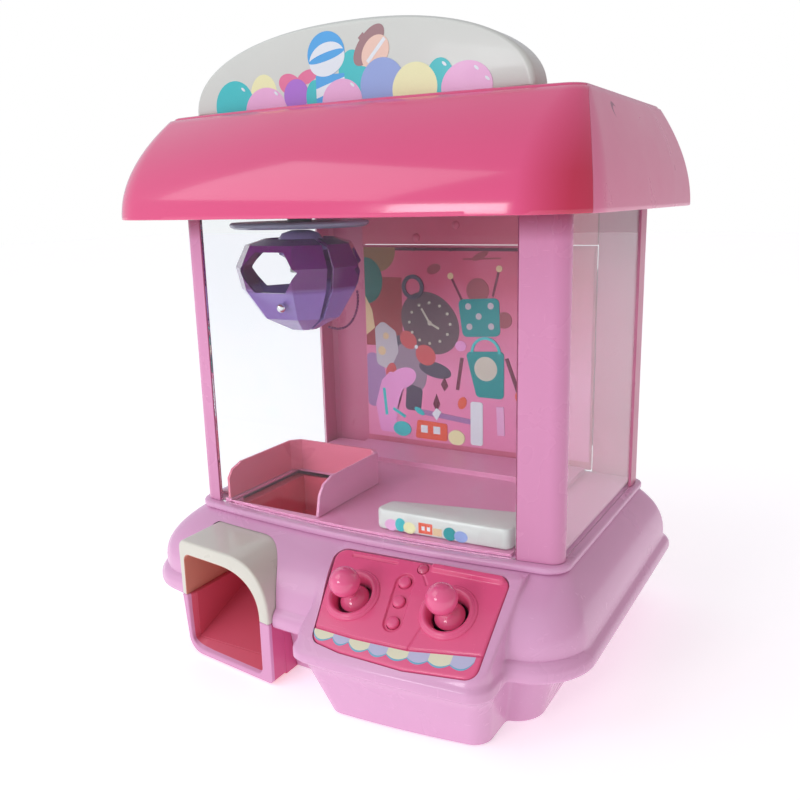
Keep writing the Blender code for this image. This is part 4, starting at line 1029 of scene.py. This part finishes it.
def bar(x0, z0, x1, z1, width):
    """Outline of a straight stroke."""
    side = Vector((z0 - z1, x1 - x0)).normalized() * width / 2
    return [(x0 - side.x, z0 - side.y), (x1 - side.x, z1 - side.y), (x1 + side.x, z1 + side.y),
            (x0 + side.x, z0 + side.y)]


def clip(points, x0, z0, x1, z1):
    """An outline pulled in to a rectangle."""
    return list(dict.fromkeys((min(max(x, x0), x1), min(max(z, z0), z1)) for x, z in points))


def half_ring(cx, cz, outer, inner, start):
    """Outline of half a ring."""
    ends = {"start": start, "stop": start + 180}
    return disc(cx, cz, outer, **ends) + disc(cx, cz, inner, **ends)[::-1]


def print_on(name, shapes, face, body, bounds):
    """Thin closed prints laid over one another, each an ink and an outline, clipped to a rectangle.

    They lie in front of the surface whose y at a place x is face(x).
    """
    verts, faces, indices, names = [], [], [], []
    for layer, (colour, points) in enumerate(shapes):
        points = clip(points, *bounds)
        if colour not in names:
            names.append(colour)
        proud, start, count = 0.05 + 0.012 * layer, len(verts), len(points)
        for lift in (proud, -0.02):
            verts += [(x, face(x) - lift, z) for x, z in points]
        faces.append(tuple(start + i for i in range(count)))
        faces.append(tuple(start + count + i for i in reversed(range(count))))
        for i in range(count):
            j = (i + 1) % count
            faces.append((start + j, start + i, start + count + i, start + count + j))
        indices += [names.index(colour)] * (count + 2)
    mats = [ink("ink_" + colour, INKS[colour]) for colour in names]
    make(name, (verts, faces), mats, body, None, False, indices)


# balloons, a striped ball and a spinning top, with glints on the balloons
GLINTS = [(-74, 345), (-50, 341), (2, 341.5), (58, 347), (76, 343.5), (82, 338)]
SIGN_SHAPES = [
    ("lemon", disc(-59, 341, 9.5, 11)), ("teal", disc(-81, 336, 14.5, 14.3)),
    ("rose", disc(-58, 332, 14.8, 12.8)), ("coral", disc(-28, 348, 7, 3.6, 15)),
    ("coral", disc(-40, 345, 8, 5.6, -20)), ("violet", disc(-36, 339, 8.5, 8.6, -30)),
    ("teal", disc(-23, 337, 6, 9)), ("teal", disc(1, 350, 7.5, 9.5, -15)),
    ("sky", square(-22, 332, -3, 348)), ("white", [(-22, 336), (-3, 341), (-3, 346), (-22, 341)]),
    ("sky", disc(-14.7, 358.8, 12.3, 11.6, 10)), ("white", disc(-14.2, 356, 11.9, 8.6, 14)),
    ("sky", disc(-14.4, 357.4, 12.0, 2.2, 12)), ("tan", disc(16, 354, 8, 10)),
    ("umber", bar(8, 366, 14, 359, 4)), ("umber", disc(13, 360.5, 12.5, 6.2, 46)),
    ("tan", disc(17, 356.5, 9.5, 7.6, 46)), ("white", bar(12, 352, 23, 363, 2)),
    ("teal", disc(8, 344, 7, 6.4, -8)), ("periwinkle", disc(21, 339.5, 13.8, 14.2, 20)),
    ("teal", disc(55.4, 341, 7.6, 9.2)), ("lemon", disc(40.5, 336.5, 13.4, 13.0, 10)),
    ("rose", disc(70.5, 335, 14.4, 12.4)), ("rose", disc(-5, 333.5, 13, 11.6)),
] + [("white", disc(x, z, 1.6, 0.7, -40)) for x, z in GLINTS]

# balloons, a clock, a die, a bucket, sticks and blocks; then the die's pips, the clock's hours and ring, the
# bucket's handle and two studs
RIBBON = [(-60, 145), (-57, 138), (-62, 127), (-66, 112), (-62, 98), (-80, 98), (-84, 120), (-78, 140), (-70, 148)]
PIPS = [(-1.5, 202), (16.5, 203), (7, 195), (-0.5, 187), (17, 188)]
HOURS = [math.radians(30 * k) for k in range(12)]
CARD_SHAPES = [
    ("crimson", square(-91, 168, -58, 222)), ("rail", bar(-68, 243.6, 40, 243.6, 2.4)),
    ("olive", disc(-79, 243, 16, 17)), ("dark_teal", disc(-90, 219, 15, 18)),
    ("sand", [(-91, 207), (-91, 176), (-83, 182), (-85, 196)]), ("dusk", bar(-6, 236.5, 24, 237.5, 1.2)),
    ("dusk", disc(8, 239, 7, 2.4, 25)), ("dusk", disc(-30, 229, 6, 3.6, 20)),
    ("plum", disc(-86, 140, 12, 22)),
    ("slate", [(-66, 176), (-58, 178), (-50, 150), (-62, 146), (-66, 160)]),
    ("ash", disc(-52, 152, 14, 20, 20)), ("smoke", disc(-34, 188, 26.5, 22, -38)),
    ("slate", disc(-30, 152, 14, 6, -12)),
    ("slate", rounded([(-57, 118), (-43, 118), (-41, 136), (-55, 140)], 3.5)),
    ("red", disc(-53, 174, 8, 6.4, -38)), ("red", disc(-38, 163, 9, 7.6, -30)),
    ("white", disc(-46, 169, 1.5)),
    ("silver", rounded([(-82, 153), (-70, 149), (-62, 164), (-64, 180), (-76, 188), (-83, 182)], 5)),
    ("sand", disc(-73, 176, 2.7)), ("sand", disc(-77, 164, 3.6)), ("red", disc(-69, 148, 4.5, 7, -15)),
    ("blush", rounded(RIBBON[::-1], 3)), ("blush", disc(-59, 143, 13, 8, 25)),
    ("teal", bar(-76, 134, -74, 112, 2.6)), ("teal", bar(-68, 118, -57, 112, 2.4)),
    ("ivory", bar(-34, 188, -41, 199, 1.6)), ("ivory", bar(-34, 188, -26, 184, 1.6)),
    ("ivory", disc(-34, 188, 1.8)), ("maroon", bar(-16, 224, -7, 207, 1.6)), ("sand", disc(-16, 224, 2.4)),
    ("maroon", bar(23, 230, 18, 210, 1.6)), ("sand", disc(23, 230, 2.4)), ("dusk", disc(6, 214, 9)),
    ("dusk", disc(27, 193, 6)), ("maroon", bar(29, 165, 40, 136, 2.8)),
    ("orange", disc(40, 136, 3.6, 5.4, 25)), ("blush", disc(-8, 172, 4.5, 4)),
    ("deep_teal", rounded([(-6, 179), (24, 181), (23, 209), (-10, 207)], 4)),
    ("maroon", bar(-7, 163, -11, 138, 2.6)),
    ("deep_teal", rounded([(5, 134), (27, 134), (27, 170), (-4, 168)], 3.4)),
    ("ivory", disc(12.5, 156, 9.2)), ("orange", disc(-7, 128, 3.4, 5, -20)),
    ("plum", bar(-46, 118, 4, 113.5, 4)), ("maroon", [(-29, 119), (-26, 125), (-29, 133), (-32, 125)]),
    ("maroon", [(-22, 136), (-19, 140), (-22, 147), (-25, 141)]),
    ("white", [(-29, 112), (-25, 119), (-29, 122), (-33, 117)]), ("teal", disc(-44, 118, 5, 2.2, -30)),
    ("white", rounded([(0, 96), (10, 96), (10, 130), (0, 130)], 2)), ("rose", bar(24, 128, 25, 106, 6)),
    ("orange", rounded([(-48, 96), (-20, 96), (-20, 110), (-46, 111)], 2)),
    ("white", square(-43, 101, -37, 107)), ("white", square(-32, 101, -26, 107)),
    ("teal", disc(-60, 102, 8, 6)), ("lemon", disc(-12, 100, 7, 6)),
] + [("silver", disc(x, z, 2.4)) for x, z in PIPS] + [
    ("ivory", disc(-34 + 17.5 * math.cos(a), 188 + 15.5 * math.sin(a), 1.1)) for a in HOURS] + [
    ("slate", half_ring(-48, 215, 9.4, 6.4, 0)), ("slate", half_ring(-48, 215, 9.4, 6.4, 180)),
    ("teal", half_ring(12.5, 168, 12, 10, 0)), ("rail", disc(-47, 243.4, 1.4)), ("rail", disc(-16, 243.4, 1.4)),
]

# balloons and blocks for the mechanism cover
COVER_SHAPES = [
    ("rose", disc(22, 91.5, 4.4, 3.6)), ("teal", disc(28, 92.5, 3.4, 4.2)),
    ("lemon", disc(34, 91.5, 4, 3.6)), ("orange", square(40, 89.5, 49, 96)),
    ("white", square(42, 91.5, 44, 94)), ("white", square(45.5, 91.5, 47.5, 94)),
    ("sand", square(49.4, 89.5, 55, 94)), ("deep_teal", disc(60, 92, 4, 4)),
    ("periwinkle", disc(67, 91.5, 4.2, 3.4)),
]

print_on("sign_print", SIGN_SHAPES, lambda x: SIGN_FRONT, "cabin", (-105, SIGN_LOW + 0.05, 100, 374))
print_on("card_artwork", CARD_SHAPES, lambda x: 103.8, "rear_door", (-91.2, 94.3, 91.2, 244.7))
print_on("cover_stickers", COVER_SHAPES, lambda x: -56.0 + (x - 10.0) * 3 / 87, "cabin", (10, 85, 97, 98))


# ---- hoist cord and bead chain

HOME = (-69.0, -8.0)
CHAIN_ANGLE = 2.0
CHAIN_ROUTE = [(41.2, 224.5), (41.6, 219.0), (40.6, 212.5), (37.6, 206.0), (33.0, 201.3), (27.6, 199.2),
               (22.4, 199.2), (18.2, 200.0)]


def build_cords():
    low, high, steps = 262.9, 279.0, 26
    profile = [(0.6 + 0.06 * (k % 2), low + (high - low) * k / steps) for k in range(steps + 1)]
    cord = lathe("hoist_cord_visual", [(0, low), *profile, (0, high)], (*HOME, 0), (0, 0, 1),
                 [plastic("cord_white", (214, 210, 208), 0.8, scratches=0.0)], None, 16)
    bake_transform(cord)
    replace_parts(cord, "hoist_cord")

    turn = math.radians(CHAIN_ANGLE)
    across = Vector((math.cos(turn), math.sin(turn), 0))
    side = Vector((-across.y, across.x, 0))
    route = [Vector((*HOME, z)) + across * r for r, z in smooth_line(CHAIN_ROUTE, 24)]
    lengths = [0.0]
    for a, b in zip(route, route[1:]):
        lengths.append(lengths[-1] + (b - a).length)
    pitch, wire, bead, beats = 2.0, 0.3, 0.9, 12
    count = int(lengths[-1] / pitch) * beats
    rings = []
    for k in range(count + 1):
        at = lengths[-1] * k / count
        i = min(max(int(np.searchsorted(lengths, at)) - 1, 0), len(route) - 2)
        centre = route[i].lerp(route[i + 1], (at - lengths[i]) / (lengths[i + 1] - lengths[i]))
        along = (route[min(i + 2, len(route) - 1)] - route[max(i - 1, 0)]).normalized()
        beat = (k % beats) / beats * pitch - pitch / 2
        radius = max(wire, math.sqrt(max(bead ** 2 - beat ** 2, 0)))
        rings.append([centre + (side * math.cos(a) + along.cross(side) * math.sin(a)) * radius
                      for a in np.linspace(0, 2 * np.pi, 15)[:-1]])
    chain = make("bead_chain_visual", loft(rings), [plastic("chain_plum", (104, 34, 84), 0.3, metallic=0.4)],
                 "jaw_2", merge=False)
    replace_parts(chain, "bead_chain")


build_cords()


# ---- light and floor

WHITE, ROOM_LEFT, ROOM_RIGHT = (1.0, 1.0, 1.0, 1.0), (0.69, 0.72, 0.78, 1.0), (0.45, 0.36, 0.35, 1.0)
FLOOR_GLOW, FLOOR_REACH, FLOOR_Z = 0.42, 6000, -0.2
AREA_LIGHTS = {"key": ((-0.9, -1.0, 1.3), (0, 0, 0.2), (1.0, 1.0), (1, 1, 1)),
               "window": ((-0.44, -1.7, 0.6), (0, -0.08, 0.3), (0.5, 0.35), (0.96, 0.98, 1.0))}
AREA_WATTS = 5.0


def build_stage():
    n = Nodes(bpy.data.materials.new("floor_pale"))
    tint = n.mix(n.noise(3.0), linear((248, 248, 249)), linear((252, 252, 252)))
    n.fill(n.shader, Base_Color=tint, Roughness=0.8, Emission_Color=WHITE, Emission_Strength=FLOOR_GLOW)
    corners = square(-FLOOR_REACH, -FLOOR_REACH, FLOOR_REACH, FLOOR_REACH)
    make("floor", ([(x, y, FLOOR_Z) for x, y in corners], [(0, 1, 2, 3)]), [n.owner], angle=None)

    scene = bpy.context.scene
    scene.view_settings.view_transform = "Standard"
    scene.world = bpy.data.worlds.new("studio")
    n = Nodes(scene.world, "Background", "Generated")
    room = n.mix(n.span(n.axis("X"), -0.4, 0.9), ROOM_LEFT, ROOM_RIGHT)
    rays = n.add("ShaderNodeLightPath").outputs
    seen = n.math("MAXIMUM", rays["Is Camera Ray"], rays["Is Transmission Ray"])
    n.fill(n.shader, Color=n.mix(seen, room, WHITE))

    for name, (place, target, (width, height), colour) in AREA_LIGHTS.items():
        data = bpy.data.lights.new(name, "AREA")
        data.energy, data.color = AREA_WATTS, colour
        data.shape, data.size, data.size_y = "RECTANGLE", width, height
        light = bpy.data.objects.new(name, data)
        scene.collection.objects.link(light)
        way = Vector(target) - Vector(place)
        light.matrix_world = Matrix.Translation(place) @ way.to_track_quat("-Z", "Y").to_matrix().to_4x4()


build_stage()
